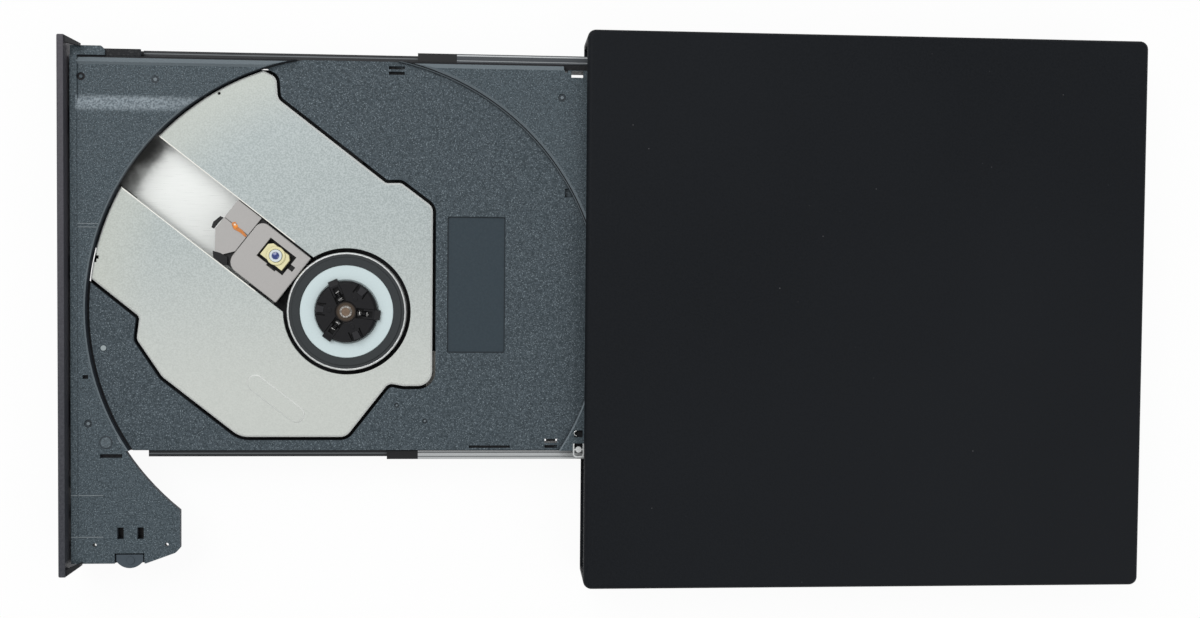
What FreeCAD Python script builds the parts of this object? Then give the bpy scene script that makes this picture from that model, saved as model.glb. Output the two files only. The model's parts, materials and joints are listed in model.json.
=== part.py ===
"""External slim disc drive with its tray pulled out, as an assembly of separate pieces.

Millimetres, +Z up. The tray slides out towards -X, and left means +Y, as seen by someone
who faces the bezel. The origin is the middle of the open drive's footprint, on the surface
that its feet stand on. Tray pieces are drawn round the disc axis, and pickup pieces with
their X along the pickup's travel, and both are then set in place.
"""
import FreeCAD, Part
import math
import os

# How far a cut runs past the face it opens, a long cut beyond its piece, and one lump into the next
PAST = 1.0
BEYOND = 9.0
OVERLAP = 0.5
TOUCH = 1e-6

# Drive body
DRIVE_HEIGHT = 12.7
DRIVE_WIDTH = 126.8
DRIVE_SHEET = 0.6
DRIVE_MOUTH = 5.2
BOARD_ROOM = 29.06
NOTCH_GAP = 0.32
APRON_INSET = 2.0
LID_SHEET = 0.5
LID_FLANGE = 3.0
LID_RIB_WIDTH = 3.0
LID_RIB_DEPTH = 0.25
LID_RIB_INSET = 20.0
LID_RIB_SIDE = 21.0

# Tray travel, from fully open to closed
TRAVEL = 124.2
BEZEL_PROUD = 0.3
TRAY_DEPTH = 127.3
TRAY_REAR_CLEARANCE = 0.7

# Housing
SIDE_WALL = 2.8
TOP_WALL = 1.8
BOTTOM_WALL = 1.8
LID_GAP = 0.2
BEZEL_SIDE_GAP = 0.7
REAR_ROOM = 7.5
CORNER_RADIUS = 2.0
EDGE_RADIUS = 1.2
SPLIT_ABOVE_TABLE = 8.0
LIP_HEIGHT = 1.2
LIP_THICKNESS = 1.2
LIP_CLEARANCE = 0.1
POST_RADIUS = 2.5
POST_INSET = 3.2
NOTCH_DEPTH = 9.5

# Feet
FOOT_HEIGHT = 1.0
FOOT_RADIUS = 4.0
FOOT_INSET = 12.0
FOOT_SEAT = 0.6
FOOT_CHAMFER = 0.4

# Screws
SCREW_RADIUS = 1.0
SCREW_HEAD_RADIUS = 1.9
SCREW_HEAD_HEIGHT = 0.8
SCREW_CLEARANCE = 0.05
SMALL_SCREW_RADIUS = 0.7
SMALL_HEAD_RADIUS = 1.5
SMALL_HEAD_HEIGHT = 0.5
SCREW_END_GAP = 0.1
CASE_SCREW_GRIP = 2.0
PILOT_END = 3.7
CROSS_LENGTH = 0.6
CROSS_WIDTH = 0.12
CROSS_DEPTH = 0.4
DRIVE_SCREW_INSET = 20.0
DRIVE_SCREW_SIDE = 5.0
DRIVE_SCREW_BOSS = 0.6

# Boards and sockets
BOARD_THICKNESS = 1.0
BOARD_GAP = 0.4
STANDOFF_RADIUS = 1.6
STANDOFF_INSET = 4.0
MAIN_BOARD_SETBACK = 31.0
MAIN_BOARD_REAR_GAP = 2.5
MAIN_BOARD_SIDE_GAP = 0.6
MAIN_BOARD_INNER_GAP = 1.92
MAIN_BOARD_STANDOFF = 1.2
BRIDGE_BOARD_STANDOFF = 1.8
CHIPS = [(12.0, 14.0, 14.0, 1.4), (36.0, 10.0, 8.0, 1.0), (58.0, 9.0, 9.0, 1.2)]
PLUG_WIDTH = 16.0
PLUG_HEIGHT = 3.0
PLUG_LENGTH = 3.2
PLUG_GAP = 0.3
SOCKET_CLEARANCE = 0.15
DATA_WIDTH = 7.7
DATA_HEIGHT = 3.9
DATA_DEPTH = 9.0
DATA_SHELL = 0.35
DATA_SHELL_REAR = 1.0
DATA_TONGUE = (0.4, 0.65)
DATA_TONGUE_SIDE = 1.6
DATA_TONGUE_END = 1.5
DATA_INSET = 5.7
POWER_WIDTH = 7.5
POWER_HEIGHT = 6.0
POWER_DEPTH = 10.5
POWER_INSET = 3.3
POWER_WALL = 1.0
POWER_BORE_RADIUS = 2.8
POWER_PIN_RADIUS = 0.65
RIBBON_WIDTH = 12.0
RIBBON_THICKNESS = 0.2
RIBBON_SETBACK = 60.0
RIBBON_SIDE = 24.0
RIBBON_END = 6.0
TRAY_RIBBON_GAP = 6.7
RIBBON_GAP = 0.6

# Disc axis, turntable and hub
SPINDLE_SETBACK = 67.05
SPINDLE_SIDE = -0.65
RECESS_RADIUS = 61.5
RECESS_DEPTH = 1.7
SEAT_ABOVE_FLOOR = 1.2
SHAFT_RADIUS = 1.5
SHAFT_RISE = 0.1
SHAFT_END_GAP = 0.1
SHAFT_CHAMFER = 0.2
SHAFT_LAND = 0.25
SHAFT_DIMPLE = 0.1
SPINDLE_FIT = 0.05
HUB_RADIUS = 7.37
HUB_HEIGHT = 1.7
HUB_CHAMFER = 0.6
HUB_DISH_RADIUS = 2.7
HUB_DISH_DEPTH = 0.4
PALE_RING_RADIUS = 11.2
PALE_RING_DROP = 0.2
PALE_RING_DISH = 0.4
RUBBER_RING_RADIUS = 13.1
RUBBER_RING_HEIGHT = 0.8
TURNTABLE_RADIUS = 13.9
TURNTABLE_RIM_DROP = 0.3
TURNTABLE_WALL = 1.0
TURNTABLE_PLATE = 1.4
TURNTABLE_GAP = 1.4
SMALL_CHAMFER = 0.1
LUG_COUNT = 3
LUG_FIRST_ANGLE = -6.0
LUG_REACH = 8.2
LUG_LEAN = 1.3
LUG_FOOT = 0.3
LUG_TIP_RISE = 0.35
LUG_TIP_DROP = 0.15
LUG_ROOT = 4.2
LUG_SLOT_START = 2.4
LUG_POCKET_FLOOR = 0.25
LUG_POCKET_GAP = 0.2
LUG_WIDTH = 2.4
LUG_TRAVEL = 0.8
LUG_CLEARANCE = 0.06
LUG_FLOOR = 0.8
LUG_DROP = 0.3
CLAW_LENGTH = 1.9
CLAW_SLIT_LENGTH = 2.6
CLAW_SLIT_DEPTH = 0.9
CLAW_SLIT_SIDE = 1.35
CLAW_WIDTH = 2.2
CLAW_SLIT = 0.3
CLAW_DEPTH = 0.45
HUB_PIN_RADIUS = 0.55
HUB_PIN_PLACE = 3.9
HUB_PIN_ROOT = 0.2
HUB_PIN_RISE = 0.15
SPRING_START = 2.5
SPRING_END = 5.4
SPRING_END_GAP = 0.1
SPRING_RADIUS = 0.5
SPRING_WIRE = 0.13
SPRING_TURNS = 6
BASE_RADIUS = 14.2
BASE_HOLE_RADIUS = 12.6
BASE_THICKNESS = 0.8
BASE_CUP_GAP = 0.4
SLEEVE_RADIUS = 3.0
SLEEVE_RISE = 0.2
SLEEVE_GAP = 0.3
SLEEVE_FLOOR = 0.3
STATOR_RADIUS = 12.2
STATOR_TEETH = 9
STATOR_HEIGHT = 1.8
STATOR_TOOTH_WIDTH = 1.6
STATOR_COIL_WIDTH = 3.0
STATOR_SHOE_WIDTH = 6.4
STATOR_SHOE_DEPTH = 1.2
STATOR_CORE_WALL = 2.0
STATOR_COIL_GAP = 1.0
STATOR_DROP = 0.2

# Tray moulding
DECK_HEIGHT = 9.9
DECK_SKIN = 1.5
FLOOR_THICKNESS = 1.2
TRAY_WALL = 1.5
TRAY_SKIRT = 6.0
WING_LENGTH = 25.5
WING_CLEARANCE = 1.45
WING_CORNER_CUT = 1.1
WING_CORNER_RISE = 2.5
WING_CORNER_CHAMFER = 1.2
WING_CORNER_RADIUS = 0.5
WING_TAPER = 8.0
WING_HOLLOW = 0.5
EDGE_BEVEL_WIDTH = 1.5
EDGE_BEVEL_DEPTH = 0.8
BROAD_BEVEL = 1.0
SLIM_BEVEL = 0.3
BEVEL_SINK = 0.1
LINE_WIDTH = 0.2
LINE_DEPTH = 0.1
FRONT_LINE = 1.7
RAMP_START = 12.1
RAMP_END = 9.3
RAMP_DEPTH = 0.5
RAMP_RETURN = 0.6
LABEL_X = (24.1, 38.1)
LABEL_Y = (-9.9, 23.2)
LABEL_DEPTH = 0.35
LABEL_CORNER = 0.7
MARK_RADIUS = 0.95
MARK_CORE_RADIUS = 0.4
MARK_DEPTH = 0.25
HOLE_MARK_RADIUS = 0.45
BOSS_RADIUS = 1.7
BOSS_RISE = 0.15
BLOCK_LENGTH = 7.1
BLOCK_WIDTH = 2.3
BLOCK_DROP = 0.4
BLOCK_CHAMFER = 1.0
STRIP_DROP = 0.8
STRIP_GAP = 0.2
REAR_STEP_LENGTH = 8.25
REAR_STEP_WIDTH = 1.5
RIB_PLACES = (32.0, 46.0)
RIB_THICKNESS = 1.0
RIB_DROP = 2.2
PIN_RADIUS = 0.65
PIN_RISE = 0.2
PIN_CLEARANCE = 0.02
PIN_ANGLE = 189.0
PIN_INSET = 3.2
CLIP_SHEET = 0.35
CLIP_INSETS = (5.35, 2.6)
CLIP_FOOT_INSETS = (3.3, 1.65)
CLIP_OVERHANG = 1.6
CLIP_REACH = 1.8
CLIP_RIM = 0.35
CLIP_CORNER = 0.9
CLIP_FOLD = 1.55
CLIP_HEAD_RADIUS = 0.75
CLIP_POCKET = 1.2
HOOK_POCKET_SIDES = (3.3, 5.0)

# Marks, slots and holes in the tray, from its front, rear, left or right edge or the wing's side
FRONT_RIDGE_SIDES = (19.7, 20.5)
FRONT_RIDGE_LENGTH = 5.2
WING_RIDGE_SIDES = (6.4, 16.4)
WING_RIDGE_LENGTH = 7.6
RIDGE_RISE = 0.1
REAR_MARK_INSETS = (8.65, 8.1)
SIDE_MARK_INSETS = (19.7, 5.4)
CORNER_MARK_INSETS = (2.5, 5.0)
WING_MARK_INSETS = (4.1, 6.6)
FLOOR_MARK_PLACES = [(12.0, -22.8), (18.8, -26.6)]
FLOOR_MARK_RADIUS = 0.6
FLOOR_MARK_CORE_RADIUS = 0.25
BOSS_BEYOND_RECESS = 1.8
BOSS_ANGLE = 210.25
POCKET_DEPTH = 0.9
LEFT_SLOT_X = (9.8, 13.6)
LEFT_SLOT_INSETS = (3.1, 1.8)
LEFT_SLOT_WIDTH = 0.75
RIM_NOTCH_ANGLE = 28.7
RIM_NOTCH_SIZE = 2.0
RIM_NOTCH_INSET = 0.45
SNAP_HOLE_INSET = 9.15
SNAP_HOLE_LENGTH = 3.1
SNAP_HOLE_SIDES = (1.7, 2.7)
SNAP_TAB_LENGTH = 2.3
SNAP_TAB_WIDTH = 0.65
SNAP_SLOT_SIDES = (0.5, 1.2)
LONG_SLOT_X = (29.5, 39.5)
LONG_SLOT_SIDES = (0.5, 1.1)
LONG_SLOT_DEPTH = 0.6
FRONT_SLOT_INSETS = (2.8, 4.1)
FRONT_SLOT_SIDES = (-16.4, -15.5)
FRONT_BAR_LENGTH = 3.2
FRONT_BAR_SIDES = (-19.6, -18.6)
FRONT_BAR_DEPTH = 0.15
BOSS_SLOT_INSETS = (6.8, 12.0)
BOSS_SLOT_SIDES = (0.7, 1.6)
COIL_WINDOW_INSETS = (10.8, 15.5)
COIL_WINDOW_LENGTH = 1.5
COIL_WINDOW_SIDES = (5.9, 8.7)
COIL_WINDOW_SINK = 0.6
WING_HOLE_INSETS = (5.5, 22.4)
WING_HOLE_SIDE = 4.5
FLOOR_GROOVE_WIDTH = 0.6
FLOOR_GROOVE_DEPTH = 0.6
FLOOR_GROOVE_ENDS = (-10.0, 12.0)
REAR_HOLE_INSETS = (6.45, 3.55)
REAR_HOLE_SIDES = (3.2, 1.6)
REAR_SLIT_INSETS = (8.05, 7.25)
REAR_SLIT_SIDES = (2.0, 1.5)

# Bezel, button and light
BEZEL_OVERHANG = 0.6
BEZEL_PLATE = 1.65
BEZEL_GAP = 0.6
BEZEL_CLEARANCE = 0.15
BEZEL_EDGE_RADIUS = 0.5
FLANGE_LENGTH = 3.3
FLANGE_HEIGHT = 2.0
FLANGE_ROOT = 0.2
FLANGE_WALL = 0.8
LEFT_FLANGE_SLANT = 1.7
RIGHT_FLANGE_SLANT = 2.4
STUD_PLACES = (-25.0, 10.0, 45.0)
STUD_WIDTH = 6.0
BUTTON_INSET = 13.85
BUTTON_WIDTH = 9.0
BUTTON_HEIGHT = 3.4
BUTTON_LEVEL = 5.2
BUTTON_GAP = 0.15
BUTTON_PROUD = 0.4
BUTTON_EDGE_RADIUS = 0.3
BUTTON_TRAVEL = 0.8
BUTTON_FLANGE = 0.8
BUTTON_SEAT_GAP = 0.1
BUTTON_WINDOW_RISE = 1.2
BUTTON_STEM = 2.0
SWITCH_GAP = 0.2
SWITCH_LENGTH = 3.2
SWITCH_WIDTH = 4.0
SWITCH_TIP_RADIUS = 0.8
SWITCH_TIP_LENGTH = 0.5
PANEL_BOARD_LENGTH = 5.0
PANEL_BOARD_WIDTH = 18.0
PANEL_BOARD_GAP = 0.4
PANEL_BOARD_SIDE = 4.2
PANEL_HOLE_RADIUS = 0.6
LIGHT_INSET = 21.85
LIGHT_WIDTH = 3.0
LIGHT_HEIGHT = 1.0
LIGHT_GAP = 0.05
LIGHT_SINK = 0.05
LIGHT_BOARD_GAP = 0.1
LIGHT_WINDOW_DROP = 1.0
PINHOLE_INSET = 5.85
PINHOLE_RADIUS = 0.6

# Latch
LATCH_SETBACK = 13.9
LATCH_PIVOT_INSET = 0.7
LATCH_PIVOT_RADIUS = 0.7
LATCH_HEAD_LENGTH = 6.3
LATCH_HEAD_SETBACK = 10.5
LATCH_HEAD_SIDE = 2.1
LATCH_HEAD_CENTRE = 0.5
LATCH_BOSS_RADIUS = 0.9
LATCH_HEAD_GAP = 0.35
LATCH_HEAD_RADIUS = 3.75
LATCH_LEDGE = 0.3
LATCH_FLOOR_GAP = 0.1
LATCH_TOP_DROP = 0.2
LATCH_ARM_EDGE = 0.05
LATCH_ARM_WIDTH = 1.95
LATCH_ARM_CORNERS = [(-1.2, -0.05), (-0.6, -0.9), (0.9, -0.9), (1.8, 2.0)]
LATCH_JOIN = 0.1
LATCH_NOSE_GAP = 0.2
LATCH_ARM_THICKNESS = 1.0
LATCH_ARM_DROP = 0.4
LATCH_NOSE_LENGTH = 1.4
LATCH_NOSE_WIDTH = 1.55
LATCH_NOSE_DROP = 1.8
LATCH_POST_RADIUS = 0.9
LATCH_POST_SETBACK = 4.8
LATCH_POST_GAP = 0.15
COIL_LENGTH = 9.0
COIL_WIDTH = 7.0
COIL_HEIGHT = 4.8
COIL_SETBACK = 8.3
COIL_SIDE = 5.2
COIL_PLUNGER_SETBACK = 15.3
COIL_PLUNGER_GAP = 2.3
COIL_PLUNGER_ROOT = 0.2
COIL_PLUNGER_RADIUS = 0.7

# Telescopic rails
RAIL_CLEARANCE = 0.12
RUNNER_WIDTH = 1.7
RUNNER_HEIGHT = 3.6
RUNNER_LEVEL = 3.2
CHANNEL_SHEET = 0.5
CHANNEL_LIP = 1.6
CHANNEL_LENGTH = 104.0
GUIDE_WALL = 0.7
GUIDE_LIP = 0.85
LEFT_RUNNER_START = -48.4
RIGHT_RUNNER_START = -47.4
LEFT_CHANNEL_START = 16.7
RIGHT_CHANNEL_START = 9.6
LEFT_CAP_LENGTH = 9.4
RIGHT_CAP_LENGTH = 7.5

# Traverse: its cover plate and frame
PLATE_SHEET = 0.8
PLATE_BEVEL = 0.45
PLATE_ABOVE_FLOOR = 0.3
PLATE_GAP = 0.8
PLATE_RIM_GAP = 0.5
SLOT_HIGH_SIDE = 9.6
SLOT_LOW_SIDE = -5.3
PICKUP_WAY = 0.5
EMBOSS_LENGTH = 16.2
EMBOSS_WIDTH = 4.1
EMBOSS_RISE = 0.25
EMBOSS_PLACE = (0.3, 27.1)
EMBOSS_ROOT = 0.1
EMBOSS_FLAT = 0.04
EMBOSS_LAND = 0.025
PLATE_NOTCH_INSETS = (0.6, 2.4)
PLATE_NOTCH_SIDES = (12.2, 13.0)
PLATE_TICK_INSETS = (1.2, 1.9)
PLATE_TICK_SIDES = (11.4, 13.6)
PLATE_DOT_ANGLE = 120.3
PLATE_DOT_INSET = 0.8
PLATE_DOT_RADIUS = 0.35
PLATE_SIDE_INSET = 0.61
TRAVERSE_EDGE = 20.5
TRAVERSE_BEYOND = 4.5

# Corners of the traverse cover, in shares of the recess's radius
COVER_LEFT_SHAPE = [
    (-0.39, 0.971),
    (-0.276, 0.911, 2.0),
    (-0.27, 0.829, 2.5),
    (0.15, 0.506, 1.2),
    (0.21, 0.507, 1.8),
]
COVER_EDGE_ENDS = (0.415, -0.293)
COVER_EDGE_RADII = (2.5, 3.5)
COVER_RIGHT_SHAPE = [
    (0.22, -0.294, 1.5),
    (0.163, -0.283, 2.0),
    (-0.003, -0.496, 3.0),
    (-0.415, -0.496, 6.0),
    (-0.714, -0.26, 4.0),
    (-0.811, -0.114, 2.0),
    (-0.8, -0.026, 1.5),
]
COVER_FRONT_END = 0.194

FRAME_LEVEL = 2.4
FRAME_BASE = 1.0
FRAME_INSET = 1.6
FRAME_WALL = 1.5
FRAME_BEAM = 2.2
FRAME_GAP = 0.3
FRAME_RIM = 2.4
RIM_SHEET = 0.4
CROSS_SHEET = 0.7
TURNTABLE_ROOM = 0.4
RIM_RADIUS_GAP = 1.0
BLOCK_RISE = 1.8
END_BLOCK = 3.2
END_BLOCK_WALL = 1.5
START_BLOCK = 2.6
START_BLOCK_WALL = 1.0
SIDE_ROD_LEAD = 2.0
SCREW_ROOM = 3.2
SIDE_ROD_ROOM = 2.6
WINDOW_GAP = 1.2
SHIELD_HOLE_RADIUS = 4.0
SHIELD_SHEET = 0.4
SHIELD_CORNER = 3.0
SHIELD_MARGIN = 4.0
SHIELD_SIDE = 6.0
DAMPER_RADIUS = 3.0
DAMPER_NECK_RADIUS = 1.95
DAMPER_HEIGHT = 2.8
DAMPER_LEVEL = 0.8
DAMPER_COLLAR = 1.0
DAMPER_GROOVE = 0.8
DAMPER_BOSS_RADIUS = 3.4
EAR_MARGIN = 0.6
EAR_WIDTH = 5.76
EAR_ROOTS = [(12.6, -1.4), (-33.2, -17.9), (0.3, 30.5)]
DAMPER_FRONT = (19.3, 9.2)
DAMPER_REAR = (6.0, -3.0)
DAMPER_LEFT = (0.5, 15.8)

# Pickup and its drive, along and across the direction it travels in
FEED_ANGLE = 38.0
PICKUP_START = 21.6
PICKUP_DROP = 0.1
ROD_RADIUS = 1.0
ROD_FIT = 0.05
ROD_HEIGHT = 4.6
ROD_START = 10.0
ROD_LEFT_GAP = 1.8
ROD_FRONT_GAP = 0.9
ROD_TIP = 0.2
SCREW_TIP = 1.0
MAIN_ROD_SIDE = -12.5
SIDE_ROD_SIDE = 15.0
SCREW_SIDE = -20.0
SCREW_RISE = 0.4
SCREW_PITCH = 3.0
SCREW_GROOVE = 0.25
SCREW_GROOVE_WIDTH = 0.9
SCREW_GROOVE_ROOT = 0.36
SCREW_PLAIN_ENDS = (3.0, 5.0)
SCREW_STUB_LENGTH = 1.6
SCREW_STUB_RADIUS = 0.6
MOTOR_RADIUS = 2.5
MOTOR_LENGTH = 11.0
MOTOR_GAP = 3.4
MOTOR_FLANGE = 0.8
FLANGE_STEP = 0.1
CARRIAGE_AHEAD = 6.9
CARRIAGE_BEHIND = 15.3
CARRIAGE_GAP = 0.2
COVER_BEHIND = 8.1
COVER_LOW_SIDE = -4.7
COVER_HIGH_SIDE = 9.0
COVER_SHEET = 1.0
COVER_BEVEL = 0.15
END_PLATE_DROP = 0.3
END_CHAMFER = 3.2
END_HIGH_SIDE = 8.1
END_MIDDLE_SIDE = 3.8
SEAM_PLACE = 0.2
SEAM_WIDTH = 0.2
SEAM_DEPTH = 0.5
COVER_SMALL_RADIUS = 0.3
COVER_LOW_RADIUS = 2.2
COVER_HIGH_RADIUS = 2.8
END_LOW_DROP = 0.3
END_GAP = 0.2
END_SHOULDER = 2.4
END_NECK_SIDE = 5.2
LENS_CLIP_LENGTH = 1.3
LENS_CLIP_SIDES = (-0.6, 0.7)
LENS_TAB_X = (2.0, 4.6)
LENS_TAB_WIDTH = 0.4
FLEX_THICKNESS = 0.12
FLEX_CORNERS = [
    (0.3, 0.5),
    (2.0, 0.1),
    (3.4, 0.2),
    (4.4, -0.5, 0.3),
    (5.1, 0.3, 0.4),
    (3.8, 1.2, 0.4),
    (2.0, 0.9),
    (0.3, 1.0),
]
ARM_HALF_HEIGHT = 1.6
SLEEVE_AHEAD = 6.1
SLEEVE_BEHIND = 4.2
SLEEVE_WALL = 2.0
FORK_AHEAD = 3.6
FORK_BEHIND = 0.9
FORK_REACH = 1.8
FORK_ROOM = 0.3
NUT_AHEAD = 4.6
NUT_BEHIND = 1.4
NUT_WALL = 1.9
LENS_TRAVEL = 0.4
LENS_ROOM = 0.3
WINDOW_AHEAD = 4.1
WINDOW_BEHIND = 3.7
WINDOW_LOW_SIDE = -2.7
WINDOW_HIGH_SIDE = 2.8
HOLDER_LENGTH = 6.4
HOLDER_WIDTH = 4.0
HOLDER_HEIGHT = 1.7
HOLDER_CHAMFER = 0.9
HOLDER_DROP = 0.1
LENS_RADIUS = 1.55
LENS_COLLAR = 0.4
LENS_COLLAR_RISE = 0.15
LENS_SEAT = 0.5
LENS_EDGE = 0.55
LENS_CURVE_RADIUS = 2.4

# Levels
DRIVE_BOTTOM = FOOT_HEIGHT + BOTTOM_WALL
DRIVE_TOP = DRIVE_BOTTOM + DRIVE_HEIGHT
CEILING = DRIVE_TOP + LID_GAP
HOUSING_TOP = CEILING + TOP_WALL
SPLIT = SPLIT_ABOVE_TABLE
CHASSIS_FLOOR = DRIVE_BOTTOM + DRIVE_SHEET
LID_BOTTOM = DRIVE_TOP - LID_SHEET
DECK = DRIVE_BOTTOM + DECK_HEIGHT
SKIN_BOTTOM = DECK - DECK_SKIN
FLOOR = DECK - RECESS_DEPTH
FLOOR_BOTTOM = FLOOR - FLOOR_THICKNESS
SKIRT_BOTTOM = SKIN_BOTTOM - TRAY_SKIRT
RIB_BOTTOM = FLOOR_BOTTOM - RIB_DROP
PLATE_TOP = FLOOR + PLATE_ABOVE_FLOOR
PLATE_BOTTOM = PLATE_TOP - PLATE_SHEET
SEAT = FLOOR + SEAT_ABOVE_FLOOR
HUB_TOP = SEAT + HUB_HEIGHT
CUP_TOP = SEAT - RUBBER_RING_HEIGHT
FRAME_BOTTOM = DRIVE_BOTTOM + FRAME_LEVEL
FRAME_FLOOR = FRAME_BOTTOM + FRAME_BASE
CUP_BOTTOM = FRAME_FLOOR + BASE_THICKNESS + BASE_CUP_GAP
ROD_Z = DRIVE_BOTTOM + ROD_HEIGHT
SCREW_Z = ROD_Z + SCREW_RISE
PICKUP_TOP = FLOOR - PICKUP_DROP
CARRIAGE_TOP = PICKUP_TOP - COVER_SHEET
HOLDER_TOP = PICKUP_TOP - HOLDER_DROP
HOLDER_BOTTOM = HOLDER_TOP - HOLDER_HEIGHT
LUG_BOTTOM = CUP_TOP + LUG_FLOOR + LUG_CLEARANCE
LUG_TOP = HUB_TOP - LUG_DROP
DAMPER_BOTTOM = FRAME_BOTTOM + DAMPER_LEVEL
DAMPER_TOP = DAMPER_BOTTOM + DAMPER_HEIGHT
EAR_Z = (DAMPER_BOTTOM + DAMPER_COLLAR, DAMPER_BOTTOM + DAMPER_COLLAR + DAMPER_GROOVE)
RUNNER_BOTTOM = DRIVE_BOTTOM + RUNNER_LEVEL
RUNNER_TOP = RUNNER_BOTTOM + RUNNER_HEIGHT
CHANNEL_BOTTOM = RUNNER_BOTTOM - RAIL_CLEARANCE - CHANNEL_SHEET
CHANNEL_TOP = RUNNER_TOP + RAIL_CLEARANCE + CHANNEL_SHEET
GUIDE_BOTTOM = CHANNEL_BOTTOM - RAIL_CLEARANCE - GUIDE_WALL
GUIDE_TOP = CHANNEL_TOP + RAIL_CLEARANCE + GUIDE_WALL
LATCH_ARM_TOP = SKIN_BOTTOM - LATCH_ARM_DROP
LATCH_ARM_BOTTOM = LATCH_ARM_TOP - LATCH_ARM_THICKNESS
LATCH_POST_TOP = LATCH_ARM_BOTTOM - LATCH_ARM_DROP
BUTTON_BOTTOM = DRIVE_BOTTOM + BUTTON_LEVEL - BUTTON_HEIGHT / 2
BUTTON_TOP = BUTTON_BOTTOM + BUTTON_HEIGHT
BUTTON_MIDDLE = DRIVE_BOTTOM + BUTTON_LEVEL
PANEL_BOARD_BOTTOM = SKIN_BOTTOM - BOARD_THICKNESS
MAIN_BOARD_BOTTOM = CHASSIS_FLOOR + MAIN_BOARD_STANDOFF
MAIN_BOARD_TOP = MAIN_BOARD_BOTTOM + BOARD_THICKNESS
BRIDGE_BOARD_BOTTOM = DRIVE_BOTTOM + BRIDGE_BOARD_STANDOFF
BRIDGE_BOARD_TOP = BRIDGE_BOARD_BOTTOM + BOARD_THICKNESS

# Plan of the drive and the housing
HALF_DRIVE = DRIVE_WIDTH / 2
HALF_BEZEL = HALF_DRIVE + BEZEL_OVERHANG
HALF_INSIDE = HALF_BEZEL + BEZEL_SIDE_GAP
HALF_HOUSING = HALF_INSIDE + SIDE_WALL
REACH = TRAVEL + BEZEL_PROUD
DRIVE_DEPTH = TRAY_DEPTH - BEZEL_PROUD + TRAY_REAR_CLEARANCE + DRIVE_SHEET
HOUSING_LENGTH = DRIVE_DEPTH + REAR_ROOM + SIDE_WALL
FRONT = (REACH + BUTTON_PROUD - HOUSING_LENGTH) / 2
MOUTH = FRONT + DRIVE_MOUTH
DRIVE_REAR = FRONT + DRIVE_DEPTH
REAR_INSIDE = DRIVE_REAR + REAR_ROOM
REAR = REAR_INSIDE + SIDE_WALL
RAIL_STACK = GUIDE_WALL + RAIL_CLEARANCE + CHANNEL_SHEET + RAIL_CLEARANCE + RUNNER_WIDTH
LEFT_EDGE = HALF_DRIVE - DRIVE_SHEET - RAIL_STACK
RIGHT_EDGE = BOARD_ROOM - HALF_DRIVE
RIGHT_GUIDE_OUTER = RIGHT_EDGE - RAIL_STACK
NOTCH_FRONT = DRIVE_REAR - NOTCH_DEPTH
NOTCH_SIDE = RIGHT_GUIDE_OUTER - NOTCH_GAP - DRIVE_SHEET

# Plan of the boards and the sockets
MAIN_BOARD_X = (FRONT + MAIN_BOARD_SETBACK, NOTCH_FRONT - MAIN_BOARD_REAR_GAP)
MAIN_BOARD_Y = (DRIVE_SHEET + MAIN_BOARD_SIDE_GAP - HALF_DRIVE, RIGHT_GUIDE_OUTER - MAIN_BOARD_INNER_GAP)
BRIDGE_BOARD_X = (NOTCH_FRONT + DRIVE_SHEET, REAR_INSIDE - BOARD_GAP)
BRIDGE_BOARD_Y = (2 * POST_INSET - HALF_INSIDE, NOTCH_SIDE - BOARD_GAP)
PLUG_MIDDLE = (BRIDGE_BOARD_Y[0] + BRIDGE_BOARD_Y[1]) / 2
PLUG_Y = (PLUG_MIDDLE - PLUG_WIDTH / 2, PLUG_MIDDLE + PLUG_WIDTH / 2)
DATA_MIDDLE = BRIDGE_BOARD_Y[1] - DATA_INSET
POWER_MIDDLE = BRIDGE_BOARD_Y[0] + POWER_INSET
RIBBON_X = (FRONT + RIBBON_SETBACK, FRONT + RIBBON_SETBACK + RIBBON_WIDTH)
RIBBON_TURN = RIGHT_EDGE + RIBBON_SIDE

# Plan of the tray, from the disc axis
SPINDLE_X = FRONT - REACH + SPINDLE_SETBACK
SPINDLE_Y = SPINDLE_SIDE
DECK_LEFT = LEFT_EDGE - SPINDLE_SIDE
DECK_RIGHT = RIGHT_EDGE - SPINDLE_SIDE
BEZEL_FRONT = -SPINDLE_SETBACK
BEZEL_BACK = BEZEL_FRONT + BEZEL_PLATE
BEZEL_RIGHT = -HALF_BEZEL - SPINDLE_SIDE
BEZEL_LEFT = HALF_BEZEL - SPINDLE_SIDE
TRAY_FRONT = BEZEL_BACK + BEZEL_GAP
TRAY_REAR = BEZEL_FRONT + TRAY_DEPTH
DRIVE_FRONT = FRONT + TRAY_FRONT - BEZEL_FRONT
LINE_X = TRAY_FRONT + FRONT_LINE
WING_REAR = TRAY_FRONT + WING_LENGTH
WING_SIDE = DRIVE_SHEET + WING_CLEARANCE - HALF_DRIVE - SPINDLE_SIDE
RAMP_Y = (DECK_LEFT - RAMP_START, DECK_LEFT - RAMP_END)
REAR_STEP_X = TRAY_REAR - REAR_STEP_LENGTH
CLIP_X = (TRAY_REAR - CLIP_INSETS[0], TRAY_REAR - CLIP_INSETS[1])
CLIP_Y = (DECK_RIGHT - CLIP_OVERHANG, DECK_RIGHT + CLIP_REACH)
CLIP_MIDDLE = ((CLIP_X[0] + CLIP_X[1]) / 2, DECK_RIGHT + CLIP_RIM)
TRAY_RIBBON_EDGE = DAMPER_REAR[1] - TRAY_RIBBON_GAP
TRAY_RIBBON_Y = (TRAY_RIBBON_EDGE - RIBBON_WIDTH, TRAY_RIBBON_EDGE)
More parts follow.
